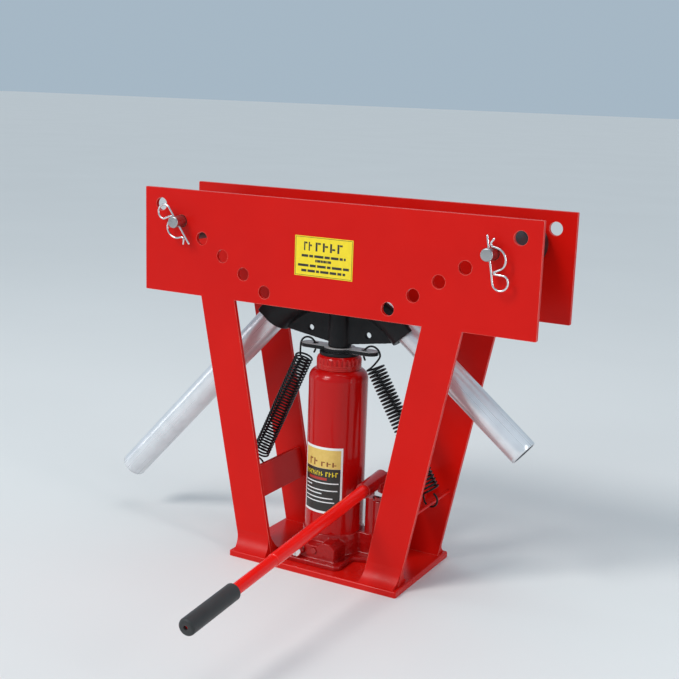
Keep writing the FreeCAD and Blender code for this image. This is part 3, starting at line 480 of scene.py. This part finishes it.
def cast(node, material, voxel, lumps):
    """Replace a CAD node with a casting: rounded by remeshing, with a low sand-cast unevenness."""
    recipes = [
        ("REMESH", {"mode": "VOXEL", "voxel_size": voxel, "use_smooth_shade": True}),
        ("SMOOTH", {"factor": 0.5, "iterations": 3}),
    ]
    mesh = with_modifiers(cad_copy(node), node + "_cast", recipes)
    for vertex, normal in zip(mesh.vertices, [v.normal.copy() for v in mesh.vertices]):
        height = noise.noise(vertex.co * 140.0) * 0.6 + noise.noise(vertex.co * 420.0) * 0.4
        vertex.co += normal * (height * lumps)
    mesh.shade_smooth()
    return add_piece(node + "_cast", mesh, body_of(node), material, [node])


def axis_frame(origin, axis):
    """Matrix that takes local +Z to an axis and the local origin to a point."""
    turn = Vector(axis).normalized().to_track_quat("Z", "Y").to_matrix().to_4x4()
    return Matrix.Translation(Vector(origin)) @ turn


def lathe_mesh(name, outline, origin, axis, segments=96):
    """Revolve a closed (radius, height) outline about an axis; radius 0 points close on the axis."""
    shape = bmesh.new()
    rings = []
    for radius, height in outline:
        if radius < 1e-7:
            rings.append([shape.verts.new((0, 0, height))])
            continue
        turns = [2 * math.pi * k / segments for k in range(segments)]
        places = [(radius * math.cos(t), radius * math.sin(t), height) for t in turns]
        rings.append([shape.verts.new(place) for place in places])
    pairs = list(zip(rings, rings[1:]))
    if len(rings[0]) > 1 and len(rings[-1]) > 1:
        pairs.append((rings[-1], rings[0]))
    for first, second in pairs:
        for k in range(segments):
            after = (k + 1) % segments
            corners = [first[k % len(first)], first[after % len(first)]]
            corners += [second[after % len(second)], second[k % len(second)]]
            unique = list(dict.fromkeys(corners))
            if len(unique) > 2:
                shape.faces.new(unique)
    bmesh.ops.recalc_face_normals(shape, faces=shape.faces)
    mesh = bpy.data.meshes.new(name)
    shape.to_mesh(mesh)
    shape.free()
    mesh.transform(axis_frame(origin, axis))
    return mesh


def lathe(node, outline, origin, axis, material, width=0.6 * MM, segments=96):
    """Replace a CAD node with a turned piece that has rounded rims."""
    name = node + "_turned"
    raw = lathe_mesh(name, outline, origin, axis, segments)
    mesh = with_modifiers(raw, name, [bevel_recipe(width, 3, 25.0), WEIGHTED])
    return add_piece(name, mesh, body_of(node), material, [node])


def filleted(points, radii, step=0.0012):
    """Points along straight runs joined by tangent arcs; radii belong to the inner points."""
    path = [points[0].copy()]
    for before, corner, after, radius in zip(points, points[1:], points[2:], radii):
        back = (before - corner).normalized()
        ahead = (after - corner).normalized()
        half = back.angle(ahead) / 2
        enter = corner + back * (radius / math.tan(half))
        centre = corner + (back + ahead).normalized() * (radius / math.sin(half))
        sweep = math.pi - 2 * half
        axis = (enter - centre).cross(corner - centre).normalized()
        count = max(3, int(radius * sweep / step))
        for k in range(count + 1):
            path.append(centre + Matrix.Rotation(sweep * k / count, 3, axis) @ (enter - centre))
    path.append(points[-1].copy())
    return path


def curve_frames(path):
    """Tangent and two steady side directions at each point of a path."""
    last = len(path) - 1
    tangents = [(path[min(k + 1, last)] - path[max(k - 1, 0)]).normalized() for k in range(len(path))]
    side = tangents[0].orthogonal().normalized()
    frames = []
    for before, tangent in zip(tangents[:1] + tangents, tangents):
        side = before.rotation_difference(tangent) @ side
        side = (side - tangent * side.dot(tangent)).normalized()
        frames.append((side, tangent.cross(side)))
    return frames


def ring_points(place, sides, radius, count):
    """Points of a circle about a place."""
    turns = [2 * math.pi * k / count for k in range(count)]
    return [place + (sides[0] * math.cos(t) + sides[1] * math.sin(t)) * radius for t in turns]


def join_rings(shape, first, second, material=0):
    """Quads between two rings of the same count."""
    for k in range(len(first)):
        after = (k + 1) % len(first)
        face = shape.faces.new((first[k], first[after], second[after], second[k]))
        face.material_index = material


def to_mesh(shape, name, sharp_angle=50.0):
    """Turn a bmesh into a smooth-shaded mesh with outward normals."""
    bmesh.ops.recalc_face_normals(shape, faces=shape.faces)
    mesh = bpy.data.meshes.new(name)
    shape.to_mesh(mesh)
    shape.free()
    return finish_mesh(mesh, sharp_angle)


def sweep_mesh(name, path, radii, count=12):
    """Round bar along points; radii is one number or one for each point."""
    if not isinstance(radii, list):
        radii = [radii] * len(path)
    shape = bmesh.new()
    rings = []
    for place, sides, radius in zip(path, curve_frames(path), radii):
        rings.append([shape.verts.new(p) for p in ring_points(place, sides, radius, count)])
    for first, second in zip(rings, rings[1:]):
        join_rings(shape, first, second)
    shape.faces.new(rings[0])
    shape.faces.new(rings[-1])
    return to_mesh(shape, name)


DOME_REACH = 0.97


def with_round_ends(path, radius, steps=4):
    """A path with a dome at each end, and the radius at each of its points."""
    domes = []
    for end, inward in ((path[0], path[1]), (path[-1], path[-2])):
        outward = (end - inward).normalized()
        turns = [DOME_REACH * (math.pi / 2 * k / steps) for k in range(steps, 0, -1)]
        domes.append([(end + outward * (radius * math.sin(t)), radius * math.cos(t)) for t in turns])
    full = domes[0] + [(place, radius) for place in path] + domes[1][::-1]
    return [place for place, _ in full], [value for _, value in full]


def pipe_mesh(name, path, outer, inner, lip, count=72):
    """Hollow pipe along points with rounded lips; stores where each point lies around and along it."""
    sides = curve_frames(path)
    first_out = (path[0] - path[1]).normalized()
    last_out = (path[-1] - path[-2]).normalized()
    stations = [(place, pair, outer) for place, pair in zip(path, sides)]
    stations[0] = (path[0] - first_out * lip, sides[0], outer)
    stations[-1] = (path[-1] - last_out * lip, sides[-1], outer)
    stations.append((path[-1], sides[-1], outer - lip))
    stations.append((path[-1], sides[-1], inner + lip / 2))
    stations += [(place, pair, inner) for place, pair in zip(path[-2::-1], sides[-2::-1])]
    stations[-1] = (path[0] - first_out * lip / 2, sides[0], inner)
    stations.append((path[0], sides[0], inner + lip / 2))
    stations.append((path[0], sides[0], outer - lip))
    shape = bmesh.new()
    flow = shape.verts.layers.float_vector.new("flow")
    rings = []
    distance = 0.0
    before = stations[0][0]
    for place, pair, radius in stations:
        distance += (place - before).length
        before = place
        ring = [shape.verts.new(p) for p in ring_points(place, pair, radius, count)]
        for vertex, turn in zip(ring, range(count)):
            angle = 2 * math.pi * turn / count
            vertex[flow] = (outer * math.cos(angle), outer * math.sin(angle), distance)
        rings.append(ring)
    # Painted shade: faces deep in the bore take the second, dark material.
    reaches = [radius for _, _, radius in stations]
    for k, (first, second) in enumerate(zip(rings, rings[1:] + rings[:1])):
        deepest = min(reaches[k], reaches[(k + 1) % len(reaches)])
        join_rings(shape, first, second, 1 if deepest < inner + lip / 4 else 0)
    return to_mesh(shape, name, 60.0)


def add_slab(shape, place, across, up, lift, material, steps=1):
    """Closed slab in a bmesh; place(u, v, lift) says where its points lie."""
    columns = [across[0] + (across[1] - across[0]) * k / steps for k in range(steps + 1)]
    loops = []
    for u in columns:
        corners = ((up[0], lift[0]), (up[1], lift[0]), (up[1], lift[1]), (up[0], lift[1]))
        loops.append([shape.verts.new(place(u, v, height)) for v, height in corners])
    faces = []
    for first, second in zip(loops, loops[1:]):
        for k in range(4):
            after = (k + 1) % 4
            faces.append(shape.faces.new((first[k], first[after], second[after], second[k])))
    faces.append(shape.faces.new(loops[0]))
    faces.append(shape.faces.new(loops[-1]))
    for face in faces:
        face.material_index = material


# ---- frame pieces ----
ROD_BEAD_R = 1.0 * MM
CROSS_BEAD_R = 2.0 * MM
BEAD_RIPPLE = 3.0 * MM
BEAD_INSET = 1.0 * MM


def add_frame():
    """Painted plates, the round cross bars and their weld beads."""
    plates = (
        ("front_side_plate", "frame_red", 0.7), ("rear_side_plate", "frame_red", 0.7),
        ("base_plate", "base_red", 0.5),
    )
    for node, material, width in plates:
        soften(node, material, width * MM)
    soften("foot_welds", "weld_red", 0.4 * MM)
    for name, side in SIDES:
        soften(name + "_cross_plate", "frame_red", 0.7 * MM)
        add_spring_rod(name)
        add_cross_plate_beads(name, side)


def add_spring_rod(name):
    """Round cross bar with a weld bead around each end."""
    node = name + "_spring_rod"
    low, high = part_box(node)
    centre = (low + high) / 2
    radius = (high.x - low.x) / 2
    half = high.y
    outline = [(0, -half), (radius, -half), (radius, half), (0, half)]
    lathe(node, outline, centre, Y_AXIS, "frame_red")
    turns = [2 * math.pi * k / 40 for k in range(41)]
    circle = [(radius * math.cos(t), radius * math.sin(t)) for t in turns]
    for label, end in (("front", low.y), ("rear", high.y)):
        ring = [Vector((centre.x + x, end, centre.z + z)) for x, z in circle]
        add_bead(f"{name}_rod_bead_{label}", ring, ROD_BEAD_R)


def add_bead(name, path, radius):
    """Weld bead: a low rippled roll along a seam."""
    spacing = (path[1] - path[0]).length
    radii = []
    for k, place in enumerate(path):
        scallop = 0.10 * abs(math.sin(math.pi * k * spacing / BEAD_RIPPLE))
        wander = 0.18 * noise.noise(place * 160.0)
        radii.append(radius * (0.92 + scallop + wander))
    mesh = sweep_mesh(name, path, radii, 10)
    add_piece(name, mesh, "frame", "weld_red")


def straight(start, end, step=1.0 * MM):
    """Evenly spaced points from start to end."""
    count = max(2, int((end - start).length / step))
    return [start.lerp(end, k / count) for k in range(count + 1)]


def add_cross_plate_beads(name, side):
    """Beads where a cross plate meets the front and rear legs, on its outer face."""
    low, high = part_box(name + "_cross_plate")
    thick = box_size("front_side_plate").y
    outer = high.x if side > 0 else low.x
    lean = (high.x - low.x - thick) * side
    for label, y in (("front", low.y), ("rear", high.y)):
        foot = Vector((outer - lean, y, low.z + BEAD_INSET))
        top = Vector((outer, y, high.z - BEAD_INSET))
        add_bead(f"{name}_cross_bead_{label}", straight(foot, top), CROSS_BEAD_R)


# ---- pins, clips, rollers ----
PIN_R = 9.0 * MM
PIN_CHAMFER = 1.2 * MM
ROLLER_CLEARANCE = 0.05 * MM
GROOVE_STEPS = 24
CLIP_WIRE_R = 1.5 * MM
# Groove of a roller: its smallest radius on the pin's axis, and the radius of the groove's own arc.
ROLLER_WAIST = 24.0 * MM
ROLLER_GROOVE = 23.0 * MM
# Way and shift of each clip along its long leg; then a clip's corners, along it and across it, and
# the bend radius at each inner corner, in millimetres.
CLIP_ALONG = {"left": Vector((0.583, 0, -0.812)), "right": Vector((-0.170, 0, 0.985))}
CLIP_SHIFT = {"left": 14.0, "right": 0.0}
CLIP_POINTS = (
    (24.5, 0.0), (-49.2, 0.0), (-49.2, 22.0), (-31.0, 22.0), (-25.5, -2.0),
    (-19.0, 22.0), (3.0, 22.0), (11.5, 1.0), (19.5, 9.0),
)
CLIP_RADII = (10.8, 10.8, 8.0, 1.8, 13.0, 17.0, 4.0)


def add_roller_pin(name):
    """Headed pin with chamfered front end."""
    node = name + "_roller_pin"
    low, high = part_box(node)
    centre = (low + high) / 2
    head = (high.x - low.x) / 2
    head_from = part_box("rear_side_plate")[1].y
    outline = [(0, low.y), (PIN_R - PIN_CHAMFER, low.y), (PIN_R, low.y + PIN_CHAMFER)]
    outline += [(PIN_R, head_from), (head, head_from), (head, high.y), (0, high.y)]
    lathe(node, outline, (centre.x, 0, centre.z), Y_AXIS, "pin_steel", 0.7 * MM)


def add_pin_clip(name):
    """Bent spring-wire clip with rounded tips."""
    node = name + "_pin_clip"
    pin_low, pin_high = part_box(name + "_roller_pin")
    clip_low, clip_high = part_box(node)
    middle = (pin_low + pin_high) / 2
    middle.y = (clip_low.y + clip_high.y) / 2
    along = CLIP_ALONG[name]
    bulge = Vector((along.z, 0, -along.x))
    points = [middle + (along * (a + CLIP_SHIFT[name]) + bulge * b) * MM for a, b in CLIP_POINTS]
    path, radii = with_round_ends(filleted(points, [r * MM for r in CLIP_RADII], 0.7 * MM), CLIP_WIRE_R)
    mesh = sweep_mesh(node + "_wire", path, radii, 16)
    add_piece(node + "_wire", mesh, body_of(node), "bright_wire", [node])


def add_roller(name):
    """Grooved roller turned about its pin."""
    node = name + "_roller"
    low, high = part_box(node)
    centre = (low + high) / 2
    radius = (high.x - low.x) / 2
    half = high.y
    reach = ROLLER_WAIST + ROLLER_GROOVE - radius
    edge = math.acos(reach / ROLLER_GROOVE)
    groove = []
    for k in range(GROOVE_STEPS + 1):
        turn = -edge + 2 * edge * k / GROOVE_STEPS
        depth = ROLLER_GROOVE * (1 - math.cos(turn))
        groove.append((ROLLER_WAIST + depth, ROLLER_GROOVE * math.sin(turn)))
    bore = PIN_R + ROLLER_CLEARANCE
    outline = [(bore, -half), (radius, -half)] + groove + [(radius, half), (bore, half)]
    lathe(node, outline, centre, Y_AXIS, "black_roller", 1.6 * MM)


# ---- jack ----
SHOULDER_R = 16.0 * MM
SHOULDER_Z = 286.0 * MM
NECK_BORE_R = 31.0 * MM
RESERVOIR_WALL = 3.5 * MM
SHOULDER_STEPS = 14


def add_reservoir():
    """Gloss red oil tube with its rolled shoulder."""
    neck = RESERVOIR_R - SHOULDER_R
    arcs = []
    for radius in (SHOULDER_R, SHOULDER_R - RESERVOIR_WALL):
        last = math.acos((NECK_BORE_R - neck) / radius)
        turns = [last * k / SHOULDER_STEPS for k in range(SHOULDER_STEPS + 1)]
        arcs.append([(neck + radius * math.cos(t), SHOULDER_Z + radius * math.sin(t)) for t in turns])
    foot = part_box("reservoir")[0].z
    outline = [(RESERVOIR_R - RESERVOIR_WALL, foot), (RESERVOIR_R, foot)] + arcs[0] + arcs[1][::-1]
    lathe("reservoir", outline, JACK, Z_AXIS, "jack_red", 0.4 * MM, 160)


def add_jack():
    """The bottle jack from its foot to the saddle."""
    cast("jack_base", "cast_red", 1.1 * MM, 0.5 * MM)
    add_reservoir()
    soften_all((
        ("top_nut", "jack_red", "jack_red", 0.4), ("saddle", "black_cast", "black_cast", 0.8),
        ("filler_plug", "rubber", "rubber", 0.6),
        ("overload_valve", "zinc", "socket_red", 0.5), ("pump_passage_plug", "zinc", "socket_red", 0.5),
        ("release_valve", "zinc", "bright_wire", 0.4),
    ))
    # Painted shade: the ear plate's side faces take the black casting finish and its top faces a light
    # zinc, so it looks lit on top and shaded at the edges.
    ears = soften("ear_plate", "ear_zinc", 0.5 * MM).data
    ears.materials.append(MATERIALS["black_cast"])
    for face in ears.polygons:
        face.material_index = 0 if abs(face.normal.z) > 0.5 else 1


TUBE_BEND_R = 150.0 * MM
TUBE_R = 21.0 * MM
TUBE_WALL = 3.0 * MM
TUBE_LIP = 0.8 * MM
TUBE_RUN = 8.0 * MM
ARC_STEPS = 60
# Side, slope in degrees and length of the straight legs of the tube, left and right.
TUBE_LEGS = ((-1, 46.8, 413.0 * MM), (1, 39.0, 265.0 * MM))


def add_die_and_tube():
    """Cast die with the bright bent tube in it."""
    cast("bending_die", "black_cast", 1.4 * MM, 0.35 * MM)
    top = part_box("bent_tube")[1].z - TUBE_R
    centre = Vector((JACK.x, 0, top - TUBE_BEND_R))
    ends = []
    for side, slope, length in TUBE_LEGS:
        turn = math.radians(slope)
        start = centre + Vector((side * math.sin(turn), 0, math.cos(turn))) * TUBE_BEND_R
        ends.append((start, start + Vector((side * math.cos(turn), 0, -math.sin(turn))) * length))
    left, right = [math.radians(slope) for _, slope, _ in TUBE_LEGS]
    turns = [-left + (left + right) * k / ARC_STEPS for k in range(ARC_STEPS + 1)]
    arc = [centre + Vector((math.sin(t), 0, math.cos(t))) * TUBE_BEND_R for t in turns]
    left_leg = straight(ends[0][1], ends[0][0], TUBE_RUN)[:-1]
    right_leg = straight(ends[1][0], ends[1][1], TUBE_RUN)[1:]
    path = left_leg + arc + right_leg
    mesh = pipe_mesh("bent_tube_pipe", path, TUBE_R, TUBE_R - TUBE_WALL, TUBE_LIP)
    for material in ("tube_steel", "tube_bore_shade"):
        mesh.materials.append(MATERIALS[material])
    add_piece("bent_tube_pipe", mesh, "ram", "tube_steel", ["bent_tube"])


# ---- return springs ----
COIL_R = 13.1 * MM
SPRING_WIRE_R = 1.5 * MM
SPRING_TURNS = 36.5
UPPER_LOOP_R = 13.8 * MM
LOWER_HOOK_R = {"left": 9.0 * MM, "right": 11.5 * MM}
COIL_STEPS = 36
SPRING_TOP_X = 60.0 * MM
SPRING_TOP_Z = 312.0 * MM
SPRING_FOOT_Z = 138.0 * MM
EAR_HOLE_X = 41.0 * MM
UPPER_LOOP_DROP = 3.25 * MM
HOOK_GAP = 0.2 * MM


def loop_points(centre, radius, start, sweep, lean):
    """Points of a loop in the plane of X and Z, shifting sideways so that its ends pass each other."""
    count = 30
    places = []
    for k in range(count + 1):
        turn = math.radians(start + sweep * k / count)
        shift = lean * (k / count - 0.5)
        places.append(centre + Vector((radius * math.cos(turn), shift, radius * math.sin(turn))))
    return places


def smoothed(path, rounds):
    """Relax a path's inner points towards their neighbours."""
    for _ in range(rounds):
        inner = [(a + 2 * b + c) / 4 for a, b, c in zip(path, path[1:], path[2:])]
        path = path[:1] + inner + path[-1:]
    return path


def add_return_spring(name, side):
    """Extension spring: a coil with a loop through the ear and an open hook under the rod."""
    node = name + "_return_spring"
    rod = box_centre(name + "_spring_rod")
    ear_low, ear_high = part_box("ear_plate")
    ear_z = (ear_low.z + ear_high.z) / 2
    rod_r = box_size(name + "_spring_rod").x / 2
    top = Vector((JACK.x + side * SPRING_TOP_X, 0, SPRING_TOP_Z))
    foot = Vector((rod.x, 0, SPRING_FOOT_Z))
    axis = (top - foot).normalized()
    across = Vector((axis.z, 0, -axis.x)) * side
    steps = int(SPRING_TURNS * COIL_STEPS)
    coil = []
    for k in range(steps + 1):
        turn = 2 * math.pi * k / COIL_STEPS + math.pi
        ring = across * math.cos(turn) + Y_AXIS * math.sin(turn)
        coil.append(foot.lerp(top, k / steps) + ring * COIL_R)
    upper = Vector((JACK.x + side * (EAR_HOLE_X + UPPER_LOOP_R), 0, ear_z - UPPER_LOOP_DROP))
    hook_r = LOWER_HOOK_R[name]
    lower = Vector((rod.x, 0, rod.z - rod_r - SPRING_WIRE_R - HOOK_GAP + hook_r))
    lower_loop = loop_points(lower, hook_r, 90 - side * 30, -side * 240, 3 * MM)
    upper_loop = loop_points(upper, UPPER_LOOP_R, 90 - side * 105, side * 232, -1 * MM)
    path = smoothed(lower_loop + coil[4:-8] + upper_loop, 3)
    path, radii = with_round_ends(path, SPRING_WIRE_R)
    mesh = sweep_mesh(node + "_coil", path, radii, 10)
    mesh.materials.append(MATERIALS["black_spring"])
    obj = bpy.data.objects.new(node + "_coil", mesh)
    SCENE.collection.objects.link(obj)
    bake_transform(obj)
    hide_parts(node)


# ---- handle ----
HANDLE_DIP = math.radians(5.015)
HANDLE_AXIS = Vector((0, -math.cos(HANDLE_DIP), -math.sin(HANDLE_DIP)))
GRIP_HOLE_R = 3.0 * MM
GRIP_HOLE_DEPTH = 6.0 * MM
GRIP_DOME = 4.0 * MM
GRIP_CHAMFER = 1.5 * MM


def along_handle(node):
    """Nearest and farthest distance of a node's points along the handle's axis from its origin."""
    origin = handle_origin()
    reaches = [(Vector(v.co) - origin).dot(HANDLE_AXIS) for v in frame["nodes"][node].data.vertices]
    return min(reaches), max(reaches)


def handle_origin():
    """Point of the handle's centre line above the pump."""
    low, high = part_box("handle_rear_bar")
    radius = (high.x - low.x) / 2
    rear = Vector(((low.x + high.x) / 2, high.y, high.z))
    return rear - Vector((0, math.sin(HANDLE_DIP), math.cos(HANDLE_DIP))) * radius


def add_handle():
    """Two painted bars, the rubber grip and the lever with its links and pins."""
    origin = handle_origin()
    for node in ("handle_rear_bar", "handle_front_bar"):
        start, end = along_handle(node)
        radius = box_size(node).x / 2
        outline = [(0, start), (radius, start), (radius, end), (0, end)]
        lathe(node, outline, origin, HANDLE_AXIS, "handle_red", 1.2 * MM)
    start, end = along_handle("handle_grip")
    radius = box_size("handle_grip").x / 2
    turns = [math.pi / 2 * k / 6 for k in range(7)]
    rim_r, rim_end = radius - GRIP_DOME, end - GRIP_DOME
    outline = [(0, end - GRIP_HOLE_DEPTH), (GRIP_HOLE_R, end - GRIP_HOLE_DEPTH), (GRIP_HOLE_R, end)]
    outline += [(rim_r + GRIP_DOME * math.sin(t), rim_end + GRIP_DOME * math.cos(t)) for t in turns]
    outline += [(radius, start + GRIP_CHAMFER), (radius - GRIP_CHAMFER, start), (0, start)]
    lathe("handle_grip", outline, origin, HANDLE_AXIS, "rubber", 0.5 * MM)
    soften_all((
        ("handle_socket", "jack_red", "socket_red", 0.8), ("fulcrum_links", "zinc", "socket_red", 0.6),
        ("pump_cylinder", "cast_red", "socket_red", 1.0), ("pump_gland", "zinc", "socket_red", 0.6),
        ("plunger", "ground_steel", "ground_steel", 0.5), ("fulcrum_pin", "zinc", "zinc", 0.5),
        ("plunger_pin", "zinc", "zinc", 0.5), ("link_pin", "zinc", "zinc", 0.5),
        ("fulcrum_pin_ring", "zinc", "black_spring", 0.2),
        ("plunger_pin_ring", "zinc", "black_spring", 0.2),
        ("link_pin_ring", "zinc", "black_spring", 0.2),
    ))


# ---- printed labels ----
FILM_T = 0.35 * MM
INK_T = 0.08 * MM
INK = (FILM_T, FILM_T + INK_T)
OVERPRINT = (FILM_T + INK_T, FILM_T + 1.6 * INK_T)
LABEL_GAP = 0.02 * MM
JACK_LABEL_ANGLES = (-46.0, 42.4)
WORDS = (0.15, 0.09, 0.21, 0.12, 0.17, 0.07, 0.19)


def add_word_bars(shape, place, across, height, up, material, skip):
    """A line of short bars with gaps, as generic small print."""
    u = across[0]
    gap = 0.025 * (across[1] - across[0])
    for word in WORDS[skip:] + WORDS[:skip]:
        end = min(u + word * (across[1] - across[0]), across[1])
        if end - u > gap:
            add_slab(shape, place, (u, end), (up, up + height), INK, material)
        u = end + gap
        if u >= across[1]:
            break


def add_strokes(shape, place, across, up, count, lift, material):
    """A row of upright strokes with short arms, as a generic heading."""
    pitch = (across[1] - across[0]) / count
    tall = up[1] - up[0]
    for k in range(count):
        left = across[0] + pitch * k
        arm = up[1] - tall * (0.22 + 0.26 * (k % 3))
        add_slab(shape, place, (left, left + pitch * 0.26), up, lift, material)
        reach = (left + pitch * 0.30, left + pitch * 0.70)
        add_slab(shape, place, reach, (arm, arm + tall * 0.2), lift, material)


def add_label(name, shape, node, materials):
    """Turn the collected slabs into one printed piece."""
    mesh = to_mesh(shape, name, 30.0)
    for material in materials:
        mesh.materials.append(MATERIALS[material])
    obj = bpy.data.objects.new(name, mesh)
    SCENE.collection.objects.link(obj)
    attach(obj, body_of(node))
    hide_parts(node)


def add_beam_label():
    """Yellow plate with a thin dark border, a heading of strokes and lines of bars."""
    low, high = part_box("beam_label")
    width, height = high.x - low.x, high.z - low.z

    def place(u, v, lift):
        return Vector((low.x + u * width, high.y - lift, low.z + v * height))

    shape = bmesh.new()
    add_slab(shape, place, (0, 1), (0, 1), (0, FILM_T), 0)
    near, far = 0.022, 0.032
    rim_near, rim_far = near * height / width, far * height / width
    border = (
        ((rim_near, 1 - rim_near), (near, far)), ((rim_near, 1 - rim_near), (1 - far, 1 - near)),
        ((rim_near, rim_far), (far, 1 - far)), ((1 - rim_far, 1 - rim_near), (far, 1 - far)),
    )
    for across, up in border:
        add_slab(shape, place, across, up, INK, 1)
    for across, count in (((0.16, 0.32), 2), ((0.36, 0.86), 4)):
        add_strokes(shape, place, across, (0.64, 0.86), count, INK, 1)
    lines = ((0.12, 0.88, 0.48), (0.36, 0.64, 0.37), (0.06, 0.94, 0.24), (0.12, 0.88, 0.11))
    for k, (start, end, up) in enumerate(lines):
        add_word_bars(shape, place, (start, end), 0.062, up, 1, k)
    add_label("beam_label_print", shape, "beam_label", ("label_yellow", "label_black"))


def add_jack_label():
    """White-edged sticker wrapped on the jack: gold top, near-black lower field, generic print."""
    low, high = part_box("jack_label")
    start, end = [math.radians(angle) for angle in JACK_LABEL_ANGLES]

    def place(u, v, lift):
        turn = start + u * (end - start)
        out = RESERVOIR_R + LABEL_GAP + lift
        height = low.z + v * (high.z - low.z)
        return Vector((JACK.x + out * math.sin(turn), JACK.y - out * math.cos(turn), height))

    white, gold, black, brown, yellow, red = range(6)
    shape = bmesh.new()
    add_slab(shape, place, (0, 1), (0, 1), (0, FILM_T), white, 36)
    field = (0.045, 0.955)
    add_slab(shape, place, field, (0.685, 0.965), INK, gold, 34)
    add_slab(shape, place, field, (0.035, 0.683), INK, black, 34)
    add_strokes(shape, place, (0.20, 0.46), (0.715, 0.82), 2, OVERPRINT, brown)
    add_strokes(shape, place, (0.52, 0.90), (0.715, 0.785), 3, OVERPRINT, brown)
    add_strokes(shape, place, (0.07, 0.58), (0.565, 0.635), 9, OVERPRINT, yellow)
    add_strokes(shape, place, (0.63, 0.92), (0.565, 0.635), 4, OVERPRINT, yellow)
    add_slab(shape, place, (0.18, 0.66), (0.505, 0.545), OVERPRINT, red, 14)
    lines = ((0.92, 0.455), (0.28, 0.405), (0.90, 0.345), (0.55, 0.29), (0.80, 0.225), (0.84, 0.165))
    for reach, up in lines:
        add_slab(shape, place, (0.08, reach), (up, up + 0.016), OVERPRINT, white, 16)
    materials = ("label_white", "label_gold", "label_black", "label_brown", "label_yellow", "label_red")
    add_label("jack_label_print", shape, "jack_label", materials)


# ---- finishes of the CAD nodes themselves ----
def finish_cad_nodes():
    """Give every CAD node a finish, so that nothing shows a plain default."""
    finishes = {
        "frame_red": "frame_red", "jack_red": "jack_red", "cast_red": "cast_red",
        "handle_red": "handle_red", "zinc": "zinc", "spring_wire": "bright_wire",
        "black_spring": "black_spring", "black_cast": "black_cast", "tube_steel": "zinc",
        "ground_steel": "ground_steel", "rubber": "rubber", "yellow_label": "label_yellow",
        "jack_label": "label_white",
    }
    slots = {entry["node"]: entry["material_slot"] for entry in frame["record"]["subparts"]}
    for node, obj in frame["nodes"].items():
        obj.data.materials.clear()
        obj.data.materials.append(MATERIALS[finishes[slots[node]]])


def build():
    """Add every piece."""
    add_camera()
    add_studio()
    finish_cad_nodes()
    add_frame()
    for name, side in SIDES:
        add_roller_pin(name)
        add_pin_clip(name)
        add_roller(name)
        add_return_spring(name, side)
    add_jack()
    add_die_and_tube()
    add_handle()
    add_beam_label()
    add_jack_label()


build()
bpy.context.view_layer.update()
